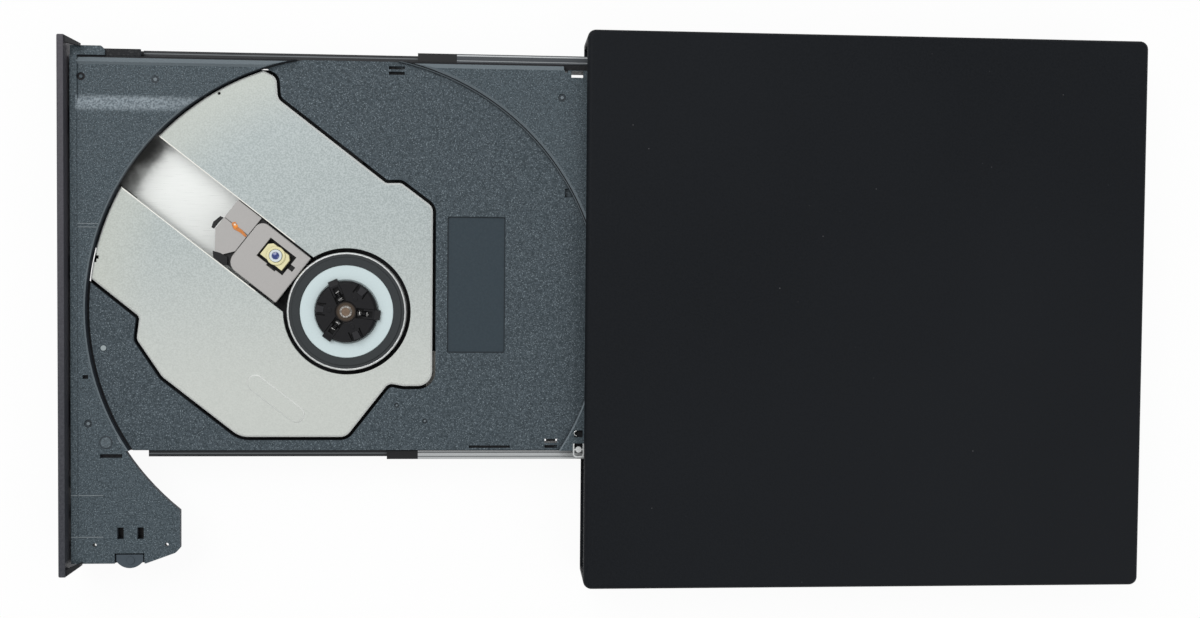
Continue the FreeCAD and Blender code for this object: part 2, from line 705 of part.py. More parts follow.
MARK_PLACES = [
    (TRAY_REAR - REAR_MARK_INSETS[0], DECK_LEFT - REAR_MARK_INSETS[1]),
    (TRAY_FRONT + SIDE_MARK_INSETS[0], DECK_LEFT - SIDE_MARK_INSETS[1]),
    (TRAY_FRONT + WING_MARK_INSETS[0], DECK_RIGHT + WING_MARK_INSETS[1]),
]
CORNER_MARK_PLACE = (TRAY_FRONT + CORNER_MARK_INSETS[0], DECK_LEFT - CORNER_MARK_INSETS[1])
WING_HOLES = [(TRAY_FRONT + inset, WING_SIDE + WING_HOLE_SIDE) for inset in WING_HOLE_INSETS]
COIL_WINDOW_Y = (WING_SIDE + COIL_WINDOW_SIDES[0], WING_SIDE + COIL_WINDOW_SIDES[1])

# Plan of the bezel's button and the latch
BUTTON_Y = BEZEL_RIGHT + BUTTON_INSET
LIGHT_Y = BEZEL_RIGHT + LIGHT_INSET
PINHOLE_Y = BEZEL_RIGHT + PINHOLE_INSET
BUTTON_BACK = BEZEL_BACK + BUTTON_SEAT_GAP
SWITCH_FACE = TRAY_FRONT + TRAY_WALL + SWITCH_GAP
BOARD_FACE = SWITCH_FACE + PANEL_BOARD_GAP
LATCH_HEAD_X = (TRAY_FRONT + LATCH_HEAD_SETBACK, TRAY_FRONT + LATCH_HEAD_SETBACK + LATCH_HEAD_LENGTH)
LATCH_HEAD_Y = WING_SIDE + LATCH_HEAD_SIDE
LATCH_PIVOT = (TRAY_FRONT + LATCH_SETBACK, WING_SIDE + LATCH_PIVOT_INSET)
LATCH_POST = (
    TRAY_FRONT + LATCH_POST_SETBACK,
    LATCH_PIVOT[1] - LATCH_ARM_EDGE - LATCH_POST_GAP - LATCH_POST_RADIUS,
)

# Plan of the traverse and the pickup, from the disc axis
PLATE_RADIUS = RECESS_RADIUS - PLATE_RIM_GAP
HOLE_RADIUS = TURNTABLE_RADIUS + TURNTABLE_GAP
INSIDE_X = (TRAY_FRONT + TRAY_WALL + FRAME_GAP, TRAY_REAR - TRAY_WALL - FRAME_GAP)
INSIDE_Y = (DECK_RIGHT + TRAY_WALL + FRAME_GAP, DECK_LEFT - TRAY_WALL - FRAME_GAP)
DAMPER_PLACES = [
    (TRAVERSE_EDGE + DAMPER_REAR[0], DAMPER_REAR[1]),
    (TRAY_FRONT + DAMPER_FRONT[0], DECK_RIGHT + DAMPER_FRONT[1]),
    (DAMPER_LEFT[0], DECK_LEFT - DAMPER_LEFT[1]),
]
TRAVERSE_FRONT = -RECESS_RADIUS - TRAVERSE_BEYOND
TRAVERSE_LEFT = RECESS_RADIUS + TRAVERSE_BEYOND
TRAVERSE_CORNERS = [(x * RECESS_RADIUS, y * RECESS_RADIUS, *radius) for x, y, *radius in COVER_LEFT_SHAPE]
TRAVERSE_CORNERS.append((TRAVERSE_EDGE, COVER_EDGE_ENDS[0] * RECESS_RADIUS, COVER_EDGE_RADII[0]))
TRAVERSE_CORNERS.append((TRAVERSE_EDGE, COVER_EDGE_ENDS[1] * RECESS_RADIUS, COVER_EDGE_RADII[1]))
TRAVERSE_CORNERS += [(x * RECESS_RADIUS, y * RECESS_RADIUS, radius) for x, y, radius in COVER_RIGHT_SHAPE]
TRAVERSE_CORNERS += [
    (TRAVERSE_FRONT, COVER_FRONT_END * RECESS_RADIUS),
    (TRAVERSE_FRONT, TRAVERSE_LEFT),
    (TRAVERSE_CORNERS[0][0], TRAVERSE_LEFT),
]
FEED_TURN = math.radians(FEED_ANGLE)
LEFT_ROOM = (INSIDE_Y[1] - ROD_RADIUS + SCREW_SIDE * math.cos(FEED_TURN)) / math.sin(FEED_TURN)
FRONT_ROOM = (-INSIDE_X[0] - ROD_RADIUS - SIDE_ROD_SIDE * math.sin(FEED_TURN)) / math.cos(FEED_TURN)
ROD_END = min(LEFT_ROOM - ROD_LEFT_GAP, FRONT_ROOM - ROD_FRONT_GAP)
BLOCK_START = ROD_END - END_BLOCK
SIDE_ROD_START = ROD_START - SIDE_ROD_LEAD
WINDOW_START = BASE_RADIUS + WINDOW_GAP
WINDOW_SIDES = (SCREW_SIDE - SCREW_ROOM, SIDE_ROD_SIDE + SIDE_ROD_ROOM)
MOTOR_END = WINDOW_START - MOTOR_GAP
MOTOR_START = MOTOR_END - MOTOR_LENGTH
CARRIAGE_FRONT = PICKUP_START - CARRIAGE_AHEAD
CARRIAGE_REAR = PICKUP_START + CARRIAGE_BEHIND
COVER_REAR = PICKUP_START + COVER_BEHIND
COVER_SIDES = (COVER_LOW_SIDE, COVER_HIGH_SIDE)
WINDOW_X = (PICKUP_START - WINDOW_AHEAD, PICKUP_START + WINDOW_BEHIND)
WINDOW_Y = (WINDOW_LOW_SIDE, WINDOW_HIGH_SIDE)
LUG_ANGLES = [LUG_FIRST_ANGLE + index * 360 / LUG_COUNT for index in range(LUG_COUNT)]

# Places that more than one housing piece needs
FOOT_PLACES = [
    (x, y)
    for x in (FRONT + FOOT_INSET, REAR - FOOT_INSET)
    for y in (-HALF_HOUSING + FOOT_INSET, HALF_HOUSING - FOOT_INSET)
]
POST_PLACES = [(REAR_INSIDE - POST_INSET, side * (HALF_INSIDE - POST_INSET)) for side in (-1, 1)]
DRIVE_SCREW_PLACES = [
    (x, y)
    for x in (FRONT + DRIVE_SCREW_INSET, NOTCH_FRONT - DRIVE_SCREW_INSET)
    for y in (-HALF_DRIVE + DRIVE_SCREW_SIDE, HALF_DRIVE - DRIVE_SCREW_SIDE)
]
MAIN_STANDOFFS = [
    (x, y)
    for x in (MAIN_BOARD_X[0] + STANDOFF_INSET, MAIN_BOARD_X[1] - STANDOFF_INSET)
    for y in (MAIN_BOARD_Y[0] + STANDOFF_INSET, MAIN_BOARD_Y[1] - STANDOFF_INSET)
]
BRIDGE_STANDOFFS = [
    (BRIDGE_BOARD_X[0] + STANDOFF_RADIUS + BOARD_GAP, BRIDGE_BOARD_Y[0] + STANDOFF_RADIUS + BOARD_GAP),
    (BRIDGE_BOARD_X[0] + STANDOFF_RADIUS + BOARD_GAP, BRIDGE_BOARD_Y[1] - STANDOFF_RADIUS - BOARD_GAP),
]


def box(x, y, z):
    """A block between the low and high value of each pair."""
    corner = FreeCAD.Vector(x[0], y[0], z[0])
    return Part.makeBox(x[1] - x[0], y[1] - y[0], z[1] - z[0], corner)


def disc(radius, z, at=(0.0, 0.0)):
    """An upright cylinder."""
    return Part.makeCylinder(radius, z[1] - z[0], FreeCAD.Vector(at[0], at[1], z[0]))


def ring(outer, inner, z, at=(0.0, 0.0)):
    """An upright tube."""
    return disc(outer, z, at).cut(disc(inner, z, at))


def bar(radius, start, end):
    """A round bar from one point to another."""
    first = FreeCAD.Vector(*start)
    along = FreeCAD.Vector(*end) - first
    return Part.makeCylinder(radius, along.Length, first, along)


def outline(corners):
    """A closed wire through corners (x, y) or (x, y, radius), each rounded by its radius."""
    count = len(corners)
    starts = []
    ends = []
    middles = []
    for index, corner in enumerate(corners):
        point = FreeCAD.Vector(corner[0], corner[1], 0)
        radius = corner[2] if len(corner) > 2 else 0.0
        before = corners[index - 1]
        after = corners[(index + 1) % count]
        back = (FreeCAD.Vector(before[0], before[1], 0) - point).normalize()
        ahead = (FreeCAD.Vector(after[0], after[1], 0) - point).normalize()
        if radius == 0.0:
            starts.append(point)
            ends.append(point)
            middles.append(None)
            continue
        half = back.getAngle(ahead) / 2
        tangent = radius / math.tan(half)
        towards = (back + ahead).normalize()
        starts.append(point + back * tangent)
        ends.append(point + ahead * tangent)
        middles.append(point + towards * (radius / math.sin(half) - radius))
    edges = []
    for index in range(count):
        if middles[index] is not None:
            edges.append(Part.Arc(starts[index], middles[index], ends[index]).toShape())
        following = starts[(index + 1) % count]
        if (following - ends[index]).Length > 1e-6:
            edges.append(Part.LineSegment(ends[index], following).toShape())
    return Part.Wire(edges)


def slab(corners, z):
    """A plate with a rounded outline, between two heights."""
    face = Part.Face(outline(corners))
    face.translate(FreeCAD.Vector(0, 0, z[0]))
    return face.extrude(FreeCAD.Vector(0, 0, z[1] - z[0]))


def rounded(x, y, z, radius):
    """An upright block with rounded corners."""
    corners = [(x[0], y[0], radius), (x[1], y[0], radius), (x[1], y[1], radius), (x[0], y[1], radius)]
    return slab(corners, z)


def turned(profile, at=(0.0, 0.0)):
    """A solid turned about the upright axis at a place, from its (radius, height) outline."""
    points = [FreeCAD.Vector(radius + at[0], at[1], z) for radius, z in profile]
    face = Part.Face(Part.makePolygon(points + points[:1]))
    axis = FreeCAD.Vector(at[0], at[1], 0)
    return face.revolve(axis, FreeCAD.Vector(0, 0, 1), 360)


def wedge(profile, low, high, along="x"):
    """A prism along X from a (y, z) outline, or along Y from an (x, z) outline."""
    if along == "x":
        points = [FreeCAD.Vector(low, a, b) for a, b in profile]
        run = FreeCAD.Vector(high - low, 0, 0)
    else:
        points = [FreeCAD.Vector(a, low, b) for a, b in profile]
        run = FreeCAD.Vector(0, high - low, 0)
    return Part.Face(Part.makePolygon(points + points[:1])).extrude(run)


def joined(first, *others):
    """One solid from several that touch, without the seams between them."""
    return first.multiFuse(list(others)).removeSplitter()


def without(shape, *tools):
    """A shape with others cut away."""
    return shape.cut(Part.makeCompound(list(tools)))


def moved(shape, x=0.0, y=0.0, z=0.0):
    """A copy moved along the axes."""
    copy = shape.copy()
    copy.translate(FreeCAD.Vector(x, y, z))
    return copy


def spun(shape, angle, at=(0.0, 0.0)):
    """A copy turned about an upright axis."""
    copy = shape.copy()
    copy.rotate(FreeCAD.Vector(at[0], at[1], 0), FreeCAD.Vector(0, 0, 1), angle)
    return copy


def group(solids):
    """Separate solids kept together as one node."""
    return Part.makeCompound(solids)


def in_tray(shape):
    """From the disc axis to the place in the drive."""
    return moved(shape, SPINDLE_X, SPINDLE_Y)


def in_feed(shape):
    """From the pickup's own direction to the place in the drive."""
    return in_tray(spun(shape, 180 - FEED_ANGLE))


def aligned(shape):
    """From the pickup's own direction to the disc axis."""
    return spun(shape, 180 - FEED_ANGLE)


def polar(radius, angle):
    """A place at a distance and a direction from the disc axis."""
    turn = math.radians(angle)
    return (radius * math.cos(turn), radius * math.sin(turn))


def around(middle, size):
    """The low and high value of a span, from its middle and its size."""
    return (middle - size / 2, middle + size / 2)


def grown(span, extra):
    """A span with the same clearance added at both ends."""
    return (span[0] - extra, span[1] + extra)


def upper_edges(shape, level):
    """The edges that lie on a solid's top face."""
    return [edge for edge in shape.Edges if edge.BoundBox.ZMin > level - TOUCH]


def front_edges(shape, level):
    """The edges that lie on a solid's front face."""
    return [edge for edge in shape.Edges if edge.BoundBox.XMax < level + TOUCH]


def traverse_plan(offset, z, radius):
    """The traverse cover's outline, grown or shrunk, inside a circle and between the tray's sides."""
    face = Part.Face(outline(TRAVERSE_CORNERS))
    if offset != 0.0:
        face = Part.Face(face.makeOffset2D(offset).OuterWire)
    face.translate(FreeCAD.Vector(0, 0, z[0]))
    plan = face.extrude(FreeCAD.Vector(0, 0, z[1] - z[0])).common(disc(radius, z))
    sides = grown((DECK_RIGHT + PLATE_SIDE_INSET, DECK_LEFT - PLATE_SIDE_INSET), offset)
    return plan.common(box((-radius, radius), sides, z))


def housing_block(z, rounded_level):
    """The outside of one cover, with its broad edges rounded."""
    block = rounded((FRONT, REAR), (-HALF_HOUSING, HALF_HOUSING), z, CORNER_RADIUS)
    edges = []
    for edge in block.Edges:
        bounds = edge.BoundBox
        if abs(bounds.ZMin - rounded_level) < TOUCH and abs(bounds.ZMax - rounded_level) < TOUCH:
            edges.append(edge)
    return block.makeFillet(EDGE_RADIUS, edges)


def socket_openings():
    """The holes in the rear wall for the two sockets."""
    through = (REAR_INSIDE - PAST, REAR + PAST)
    openings = []
    for middle, width, height in (
        (DATA_MIDDLE, DATA_WIDTH, DATA_HEIGHT),
        (POWER_MIDDLE, POWER_WIDTH, POWER_HEIGHT),
    ):
        y = grown(around(middle, width), SOCKET_CLEARANCE)
        z = grown((BRIDGE_BOARD_TOP, BRIDGE_BOARD_TOP + height), SOCKET_CLEARANCE)
        openings.append(box(through, y, z))
    return openings


def lip_block(extra):
    """The tongue on the lower cover's rim, grown by a clearance for its groove."""
    reach = LIP_THICKNESS + extra
    inside = (-HALF_INSIDE, HALF_INSIDE)
    outer = box(
        (FRONT + SIDE_WALL - extra, REAR_INSIDE + reach),
        grown(inside, reach),
        (SPLIT, SPLIT + LIP_HEIGHT + extra),
    )
    return outer.cut(box((FRONT, REAR_INSIDE), inside, (SPLIT - PAST, SPLIT + LIP_HEIGHT + PAST)))


def top_cover():
    """The upper shell: a flat lid with three walls and two screw posts at the back."""
    shell = housing_block((SPLIT, HOUSING_TOP), HOUSING_TOP)
    inside = box((FRONT - PAST, REAR_INSIDE), (-HALF_INSIDE, HALF_INSIDE), (SPLIT - PAST, CEILING))
    shell = without(shell, inside, lip_block(LIP_CLEARANCE), *socket_openings())
    shell = joined(shell, *[disc(POST_RADIUS, (SPLIT, CEILING), place) for place in POST_PLACES])
    pilots = [disc(SCREW_RADIUS, (SPLIT - PAST, SPLIT + PILOT_END), place) for place in POST_PLACES]
    return without(shell, *pilots)


def bottom_cover():
    """The lower shell, with seats for the feet, screw holes and standoffs for the rear board."""
    shell = housing_block((FOOT_HEIGHT, SPLIT), FOOT_HEIGHT)
    inside = box((FRONT - PAST, REAR_INSIDE), (-HALF_INSIDE, HALF_INSIDE), (DRIVE_BOTTOM, SPLIT + PAST))
    shell = joined(shell.cut(inside), lip_block(0.0))
    posts = [disc(POST_RADIUS, (DRIVE_BOTTOM, SPLIT), place) for place in POST_PLACES]
    standoffs = [
        disc(STANDOFF_RADIUS, (DRIVE_BOTTOM, BRIDGE_BOARD_BOTTOM), place) for place in BRIDGE_STANDOFFS
    ]
    shell = joined(shell, *posts, *standoffs)
    seat = (0, FOOT_HEIGHT + FOOT_SEAT)
    head_seat = (0, FOOT_HEIGHT + SCREW_HEAD_HEIGHT + SCREW_CLEARANCE)
    cuts = [disc(FOOT_RADIUS + SCREW_CLEARANCE, seat, place) for place in FOOT_PLACES]
    for place in POST_PLACES + DRIVE_SCREW_PLACES:
        cuts.append(disc(SCREW_RADIUS + SCREW_CLEARANCE, (0, SPLIT + PAST), place))
        cuts.append(disc(SCREW_HEAD_RADIUS + SCREW_CLEARANCE, head_seat, place))
    return without(shell, *cuts, *socket_openings())


def rubber_feet():
    """Four round feet, let into the lower cover."""
    seat = FOOT_HEIGHT + FOOT_SEAT
    profile = [
        (0, 0),
        (FOOT_RADIUS - FOOT_CHAMFER, 0),
        (FOOT_RADIUS, FOOT_CHAMFER),
        (FOOT_RADIUS, seat),
        (0, seat),
    ]
    return group([turned(profile, place) for place in FOOT_PLACES])


def cross_screw(radius, head_radius, head_height, length, at, z):
    """A screw with its head down, a cross recess in it and its shank pointing up."""
    head = disc(head_radius, (z, z + head_height), at)
    shank = disc(radius, (z + head_height, z + head_height + length), at)
    long = 2 * head_radius * CROSS_LENGTH
    short = 2 * head_radius * CROSS_WIDTH
    depth = (z - PAST, z + head_height * CROSS_DEPTH)
    across = box(around(at[0], long), around(at[1], short), depth)
    along = box(around(at[0], short), around(at[1], long), depth)
    return without(joined(head, shank), across, along)


def housing_screws(places, end):
    """Screws that start at the underside of the lower cover and reach up to one level."""
    length = end - FOOT_HEIGHT - SCREW_HEAD_HEIGHT
    size = (SCREW_RADIUS, SCREW_HEAD_RADIUS, SCREW_HEAD_HEIGHT, length)
    return group([cross_screw(*size, place, FOOT_HEIGHT) for place in places])


def case_screws():
    """The two screws that hold the covers together at the back."""
    return housing_screws(POST_PLACES, SPLIT + CASE_SCREW_GRIP)


def drive_screws():
    """The four screws that hold the drive on the lower cover."""
    return housing_screws(DRIVE_SCREW_PLACES, CHASSIS_FLOOR + DRIVE_SCREW_BOSS)


def pan_outline(inset):
    """The drive's outline with its rear notch, drawn in by an inset, from its mouth back."""
    left = HALF_DRIVE - inset
    right = -HALF_DRIVE + inset
    rear = DRIVE_REAR - inset
    return [
        (MOUTH, right),
        (NOTCH_FRONT - inset, right),
        (NOTCH_FRONT - inset, NOTCH_SIDE + inset),
        (rear, NOTCH_SIDE + inset),
        (rear, left),
        (MOUTH, left),
    ]


def drive_chassis():
    """The drive's folded steel pan, with its walls, standoffs and screw bosses."""
    above = LID_BOTTOM + PAST
    inner_sides = (DRIVE_SHEET - HALF_DRIVE, HALF_DRIVE - DRIVE_SHEET)
    apron_sides = (APRON_INSET - HALF_DRIVE, HALF_DRIVE - APRON_INSET)
    pan = slab(pan_outline(0.0), (DRIVE_BOTTOM, LID_BOTTOM))
    inside = slab(pan_outline(DRIVE_SHEET), (CHASSIS_FLOOR, above))
    mouth = box((MOUTH - PAST, MOUTH), inner_sides, (CHASSIS_FLOOR, above))
    apron = box((DRIVE_FRONT, MOUTH), apron_sides, (DRIVE_BOTTOM, CHASSIS_FLOOR))
    standoffs = [disc(STANDOFF_RADIUS, (CHASSIS_FLOOR, MAIN_BOARD_BOTTOM), place) for place in MAIN_STANDOFFS]
    boss_z = (CHASSIS_FLOOR, CHASSIS_FLOOR + DRIVE_SCREW_BOSS)
    bosses = [disc(SCREW_RADIUS + DRIVE_SHEET, boss_z, place) for place in DRIVE_SCREW_PLACES]
    pan = joined(without(pan, inside, mouth), apron, *standoffs, *bosses)
    hole_z = (DRIVE_BOTTOM - PAST, boss_z[1] + PAST)
    holes = [disc(SCREW_RADIUS + SCREW_CLEARANCE, hole_z, place) for place in DRIVE_SCREW_PLACES]
    plug_z = (MAIN_BOARD_TOP, MAIN_BOARD_TOP + PLUG_HEIGHT)
    window = box(around(NOTCH_FRONT, 3 * DRIVE_SHEET), grown(PLUG_Y, PLUG_GAP), grown(plug_z, PLUG_GAP))
    return without(pan, window, *holes)


def chassis_lid():
    """The drive's steel lid, folded down outside the pan's walls."""
    plate_corners = [
        (DRIVE_FRONT, -HALF_DRIVE),
        (NOTCH_FRONT, -HALF_DRIVE),
        (NOTCH_FRONT, NOTCH_SIDE),
        (DRIVE_REAR, NOTCH_SIDE),
        (DRIVE_REAR, HALF_DRIVE),
        (DRIVE_FRONT, HALF_DRIVE),
    ]
    plate = slab(plate_corners, (LID_BOTTOM, DRIVE_TOP))
    flange_z = (DRIVE_TOP - LID_FLANGE, DRIVE_TOP)
    right = box((MOUTH, NOTCH_FRONT), (-HALF_DRIVE - LID_SHEET, -HALF_DRIVE), flange_z)
    left = box((MOUTH, DRIVE_REAR), (HALF_DRIVE, HALF_DRIVE + LID_SHEET), flange_z)
    rib_x = (FRONT + LID_RIB_INSET, NOTCH_FRONT - LID_RIB_INSET / 2)
    rib_z = (DRIVE_TOP - LID_RIB_DEPTH, DRIVE_TOP + PAST)
    pressed = [box(rib_x, around(side * LID_RIB_SIDE, LID_RIB_WIDTH), rib_z) for side in (-1, 1)]
    return without(joined(plate, left, right), *pressed)


def beside(side, inner, outer):
    """A span across the drive, from its distances outwards from the tray's edge."""
    edge = LEFT_EDGE if side > 0 else RIGHT_EDGE
    ends = (edge + side * inner, edge + side * outer)
    return (min(ends), max(ends))


def rail_section(side, x, inner, sheet, lip, z):
    """A C-shaped rail along X, open towards the tray: side is +1 on the left, -1 on the right."""
    web = box(x, beside(side, inner, inner + sheet), z)
    top = box(x, beside(side, inner - lip, inner + sheet), (z[1] - sheet, z[1]))
    bottom = box(x, beside(side, inner - lip, inner + sheet), (z[0], z[0] + sheet))
    return joined(web, top, bottom)


def guide(side):
    """The fixed rail in the chassis."""
    inner = RAIL_STACK - GUIDE_WALL
    x = (MOUTH, DRIVE_REAR - DRIVE_SHEET - RAIL_CLEARANCE)
    rail = rail_section(side, x, inner, GUIDE_WALL, GUIDE_LIP, (GUIDE_BOTTOM, GUIDE_TOP))
    return joined(rail, box(x, beside(side, inner, RAIL_STACK), (CHASSIS_FLOOR, GUIDE_BOTTOM)))


def left_guide():
    """The fixed rail against the chassis's left wall."""
    return guide(1)


def right_guide():
    """The fixed rail between the tray and the boards, with a gap for the ribbon cable."""
    gap_z = (CHASSIS_FLOOR - PAST, CHASSIS_FLOOR + RIBBON_THICKNESS + RIBBON_GAP)
    gap = box(grown(RIBBON_X, RIBBON_GAP), (RIGHT_GUIDE_OUTER - PAST, RIGHT_EDGE), gap_z)
    return guide(-1).cut(gap)


def channel_piece(side, start, end):
    """A length of the middle rail, from the disc axis."""
    x = (SPINDLE_X + start, SPINDLE_X + end)
    inner = RUNNER_WIDTH + RAIL_CLEARANCE
    return rail_section(side, x, inner, CHANNEL_SHEET, CHANNEL_LIP, (CHANNEL_BOTTOM, CHANNEL_TOP))


def left_channel():
    """The left middle rail, of folded steel."""
    return channel_piece(1, LEFT_CHANNEL_START + LEFT_CAP_LENGTH, LEFT_CHANNEL_START + CHANNEL_LENGTH)


def right_channel():
    """The right middle rail, of folded steel."""
    return channel_piece(-1, RIGHT_CHANNEL_START + RIGHT_CAP_LENGTH, RIGHT_CHANNEL_START + CHANNEL_LENGTH)


def left_channel_cap():
    """The plastic nose of the left middle rail."""
    return channel_piece(1, LEFT_CHANNEL_START, LEFT_CHANNEL_START + LEFT_CAP_LENGTH)


def right_channel_cap():
    """The plastic nose of the right middle rail."""
    return channel_piece(-1, RIGHT_CHANNEL_START, RIGHT_CHANNEL_START + RIGHT_CAP_LENGTH)


def runner(side, start):
    """The bar on the tray's side that slides in the middle rail."""
    x = (SPINDLE_X + start, SPINDLE_X + TRAY_REAR)
    return box(x, beside(side, 0.0, RUNNER_WIDTH), (RUNNER_BOTTOM, RUNNER_TOP))


def left_runner():
    """The left sliding bar."""
    return runner(1, LEFT_RUNNER_START)


def right_runner():
    """The right sliding bar."""
    return runner(-1, RIGHT_RUNNER_START)


def main_board():
    """The drive's main circuit board."""
    return box(MAIN_BOARD_X, MAIN_BOARD_Y, (MAIN_BOARD_BOTTOM, MAIN_BOARD_TOP))


def board_components():
    """The chips on the main board and the plug at its rear end."""
    middle = (MAIN_BOARD_Y[0] + MAIN_BOARD_Y[1]) / 2
    pieces = []
    for start, length, width, height in CHIPS:
        x = MAIN_BOARD_X[0] + start
        z = (MAIN_BOARD_TOP, MAIN_BOARD_TOP + height)
        pieces.append(box((x, x + length), around(middle, width), z))
    plug_x = (MAIN_BOARD_X[1] - PLUG_LENGTH, NOTCH_FRONT + DRIVE_SHEET)
    pieces.append(box(plug_x, PLUG_Y, (MAIN_BOARD_TOP, MAIN_BOARD_TOP + PLUG_HEIGHT)))
    return group(pieces)


def ribbon_cable():
    """The flat cable that runs from the main board across the chassis floor to its mouth."""
    z = (CHASSIS_FLOOR, CHASSIS_FLOOR + RIBBON_THICKNESS)
    start = MAIN_BOARD_Y[1] - RIBBON_END
    across = box(RIBBON_X, (start, RIBBON_TURN), z)
    along = box((MOUTH, RIBBON_X[1]), (RIBBON_TURN - RIBBON_WIDTH, RIBBON_TURN), z)
    rise = box(RIBBON_X, (start, start + RIBBON_THICKNESS), (CHASSIS_FLOOR, MAIN_BOARD_BOTTOM))
    return joined(across, along, rise)


def latch_post():
    """The post on the chassis that the tray's latch catches."""
    place = (SPINDLE_X + TRAVEL + LATCH_POST[0], SPINDLE_Y + LATCH_POST[1])
    return disc(LATCH_POST_RADIUS, (CHASSIS_FLOOR, LATCH_POST_TOP), place)


def bridge_board():
    """The small board behind the drive that carries the two sockets."""
    return box(BRIDGE_BOARD_X, BRIDGE_BOARD_Y, (BRIDGE_BOARD_BOTTOM, BRIDGE_BOARD_TOP))


def bridge_connector():
    """The connector between the main board and the rear board."""
    x = (BRIDGE_BOARD_X[0], BRIDGE_BOARD_X[0] + PLUG_LENGTH)
    return box(x, PLUG_Y, (BRIDGE_BOARD_TOP, BRIDGE_BOARD_TOP + PLUG_HEIGHT))


def usb_socket():
    """A small data socket: a thin shell with a tongue in it."""
    x = (REAR - DATA_DEPTH, REAR - SOCKET_CLEARANCE)
    y = around(DATA_MIDDLE, DATA_WIDTH)
    z = (BRIDGE_BOARD_TOP, BRIDGE_BOARD_TOP + DATA_HEIGHT)
    start = x[0] + DATA_SHELL_REAR
    hollow = box((start, x[1] + PAST), grown(y, -DATA_SHELL), grown(z, -DATA_SHELL))
    tongue_z = [z[0] + DATA_HEIGHT * share for share in DATA_TONGUE]
    tongue = box((start, x[1] - DATA_TONGUE_END), grown(y, -DATA_TONGUE_SIDE), tongue_z)
    return joined(box(x, y, z).cut(hollow), tongue)


def power_socket():
    """A round power socket with its centre pin."""
    x = (REAR - POWER_DEPTH, REAR - SOCKET_CLEARANCE)
    z = (BRIDGE_BOARD_TOP, BRIDGE_BOARD_TOP + POWER_HEIGHT)
    middle = (z[0] + z[1]) / 2
    start = (x[0] + POWER_WALL, POWER_MIDDLE, middle)
    bore = bar(POWER_BORE_RADIUS, start, (x[1] + PAST, POWER_MIDDLE, middle))
    pin = bar(POWER_PIN_RADIUS, start, (x[1] - POWER_WALL, POWER_MIDDLE, middle))
    return joined(box(x, around(POWER_MIDDLE, POWER_WIDTH), z).cut(bore), pin)


def wing_plan(z):
    """The tray's front wing, hollowed by the disc's circle."""
    corners = [
        (TRAY_FRONT, WING_SIDE),
        (WING_REAR - WING_TAPER, WING_SIDE),
        (WING_REAR - WING_CORNER_CUT, WING_SIDE + WING_CORNER_RISE, WING_CORNER_RADIUS),
        (WING_REAR, WING_SIDE + WING_CORNER_RISE + WING_CORNER_CHAMFER, WING_CORNER_RADIUS),
        (WING_REAR, DECK_RIGHT),
        (TRAY_FRONT, DECK_RIGHT),
    ]
    return slab(corners, z).cut(disc(RECESS_RADIUS + WING_HOLLOW, z))


def tray_shell():
    """The tray's skin, disc floor, recess wall and skirts."""
    x = (TRAY_FRONT, TRAY_REAR)
    y = (DECK_RIGHT, DECK_LEFT)
    skirt = (SKIRT_BOTTOM, SKIN_BOTTOM)
    skin = box(x, y, (SKIN_BOTTOM, DECK))
    body = box(x, y, (FLOOR_BOTTOM, DECK))
    wall = disc(RECESS_RADIUS + TRAY_WALL, (FLOOR_BOTTOM, SKIN_BOTTOM + OVERLAP)).common(body)
    way = box(
        (RECESS_RADIUS / 2, RECESS_RADIUS + BEYOND),
        grown((SLOT_LOW_SIDE, SLOT_HIGH_SIDE), PICKUP_WAY),
        (FLOOR_BOTTOM - PAST, SKIN_BOTTOM),
    )
    wall = wall.cut(aligned(way))
    floor = disc(RECESS_RADIUS, (FLOOR_BOTTOM, FLOOR)).common(body)
    left = box(x, (DECK_LEFT - TRAY_WALL, DECK_LEFT), skirt)
    right = box((WING_REAR, TRAY_REAR), (DECK_RIGHT, DECK_RIGHT + TRAY_WALL), skirt)
    front = box((TRAY_FRONT, TRAY_FRONT + TRAY_WALL), (WING_SIDE, DECK_LEFT), skirt)
    rear = box((TRAY_REAR - TRAY_WALL, TRAY_REAR), y, skirt)
    return joined(skin, wall, floor, left, right, front, rear, wing_plan((SKIN_BOTTOM, DECK)), *deck_ridges())


def tray_underside():
    """The mount bosses and the cable's ribs under the tray, and its front block, strip and latch ledge."""
    pieces = []
    for place in DAMPER_PLACES:
        pieces.append(disc(DAMPER_BOSS_RADIUS, (DAMPER_TOP, FLOOR_BOTTOM), place))
    for x in RIB_PLACES:
        y = (DECK_RIGHT + TRAY_WALL, DECK_LEFT - TRAY_WALL)
        pieces.append(box((x, x + RIB_THICKNESS), y, (RIB_BOTTOM, FLOOR_BOTTOM)))
    end = TRAY_FRONT + BLOCK_LENGTH
    inner = DECK_LEFT - OVERLAP
    outer = DECK_LEFT + BLOCK_WIDTH
    corners = [
        (TRAY_FRONT, inner),
        (end + BLOCK_CHAMFER, inner),
        (end + BLOCK_CHAMFER, outer - BLOCK_CHAMFER),
        (end, outer),
        (TRAY_FRONT, outer),
    ]
    pieces.append(slab(corners, (SKIN_BOTTOM, DECK - BLOCK_DROP)))
    strip_x = (end, LEFT_RUNNER_START - STRIP_GAP)
    pieces.append(box(strip_x, (inner, DECK_LEFT + RUNNER_WIDTH), (SKIN_BOTTOM, DECK - STRIP_DROP)))
    ledge_z = (SKIN_BOTTOM - LATCH_LEDGE, SKIN_BOTTOM + LATCH_LEDGE)
    pieces.append(box(LATCH_HEAD_X, (WING_SIDE, LATCH_HEAD_Y), ledge_z))
    return pieces


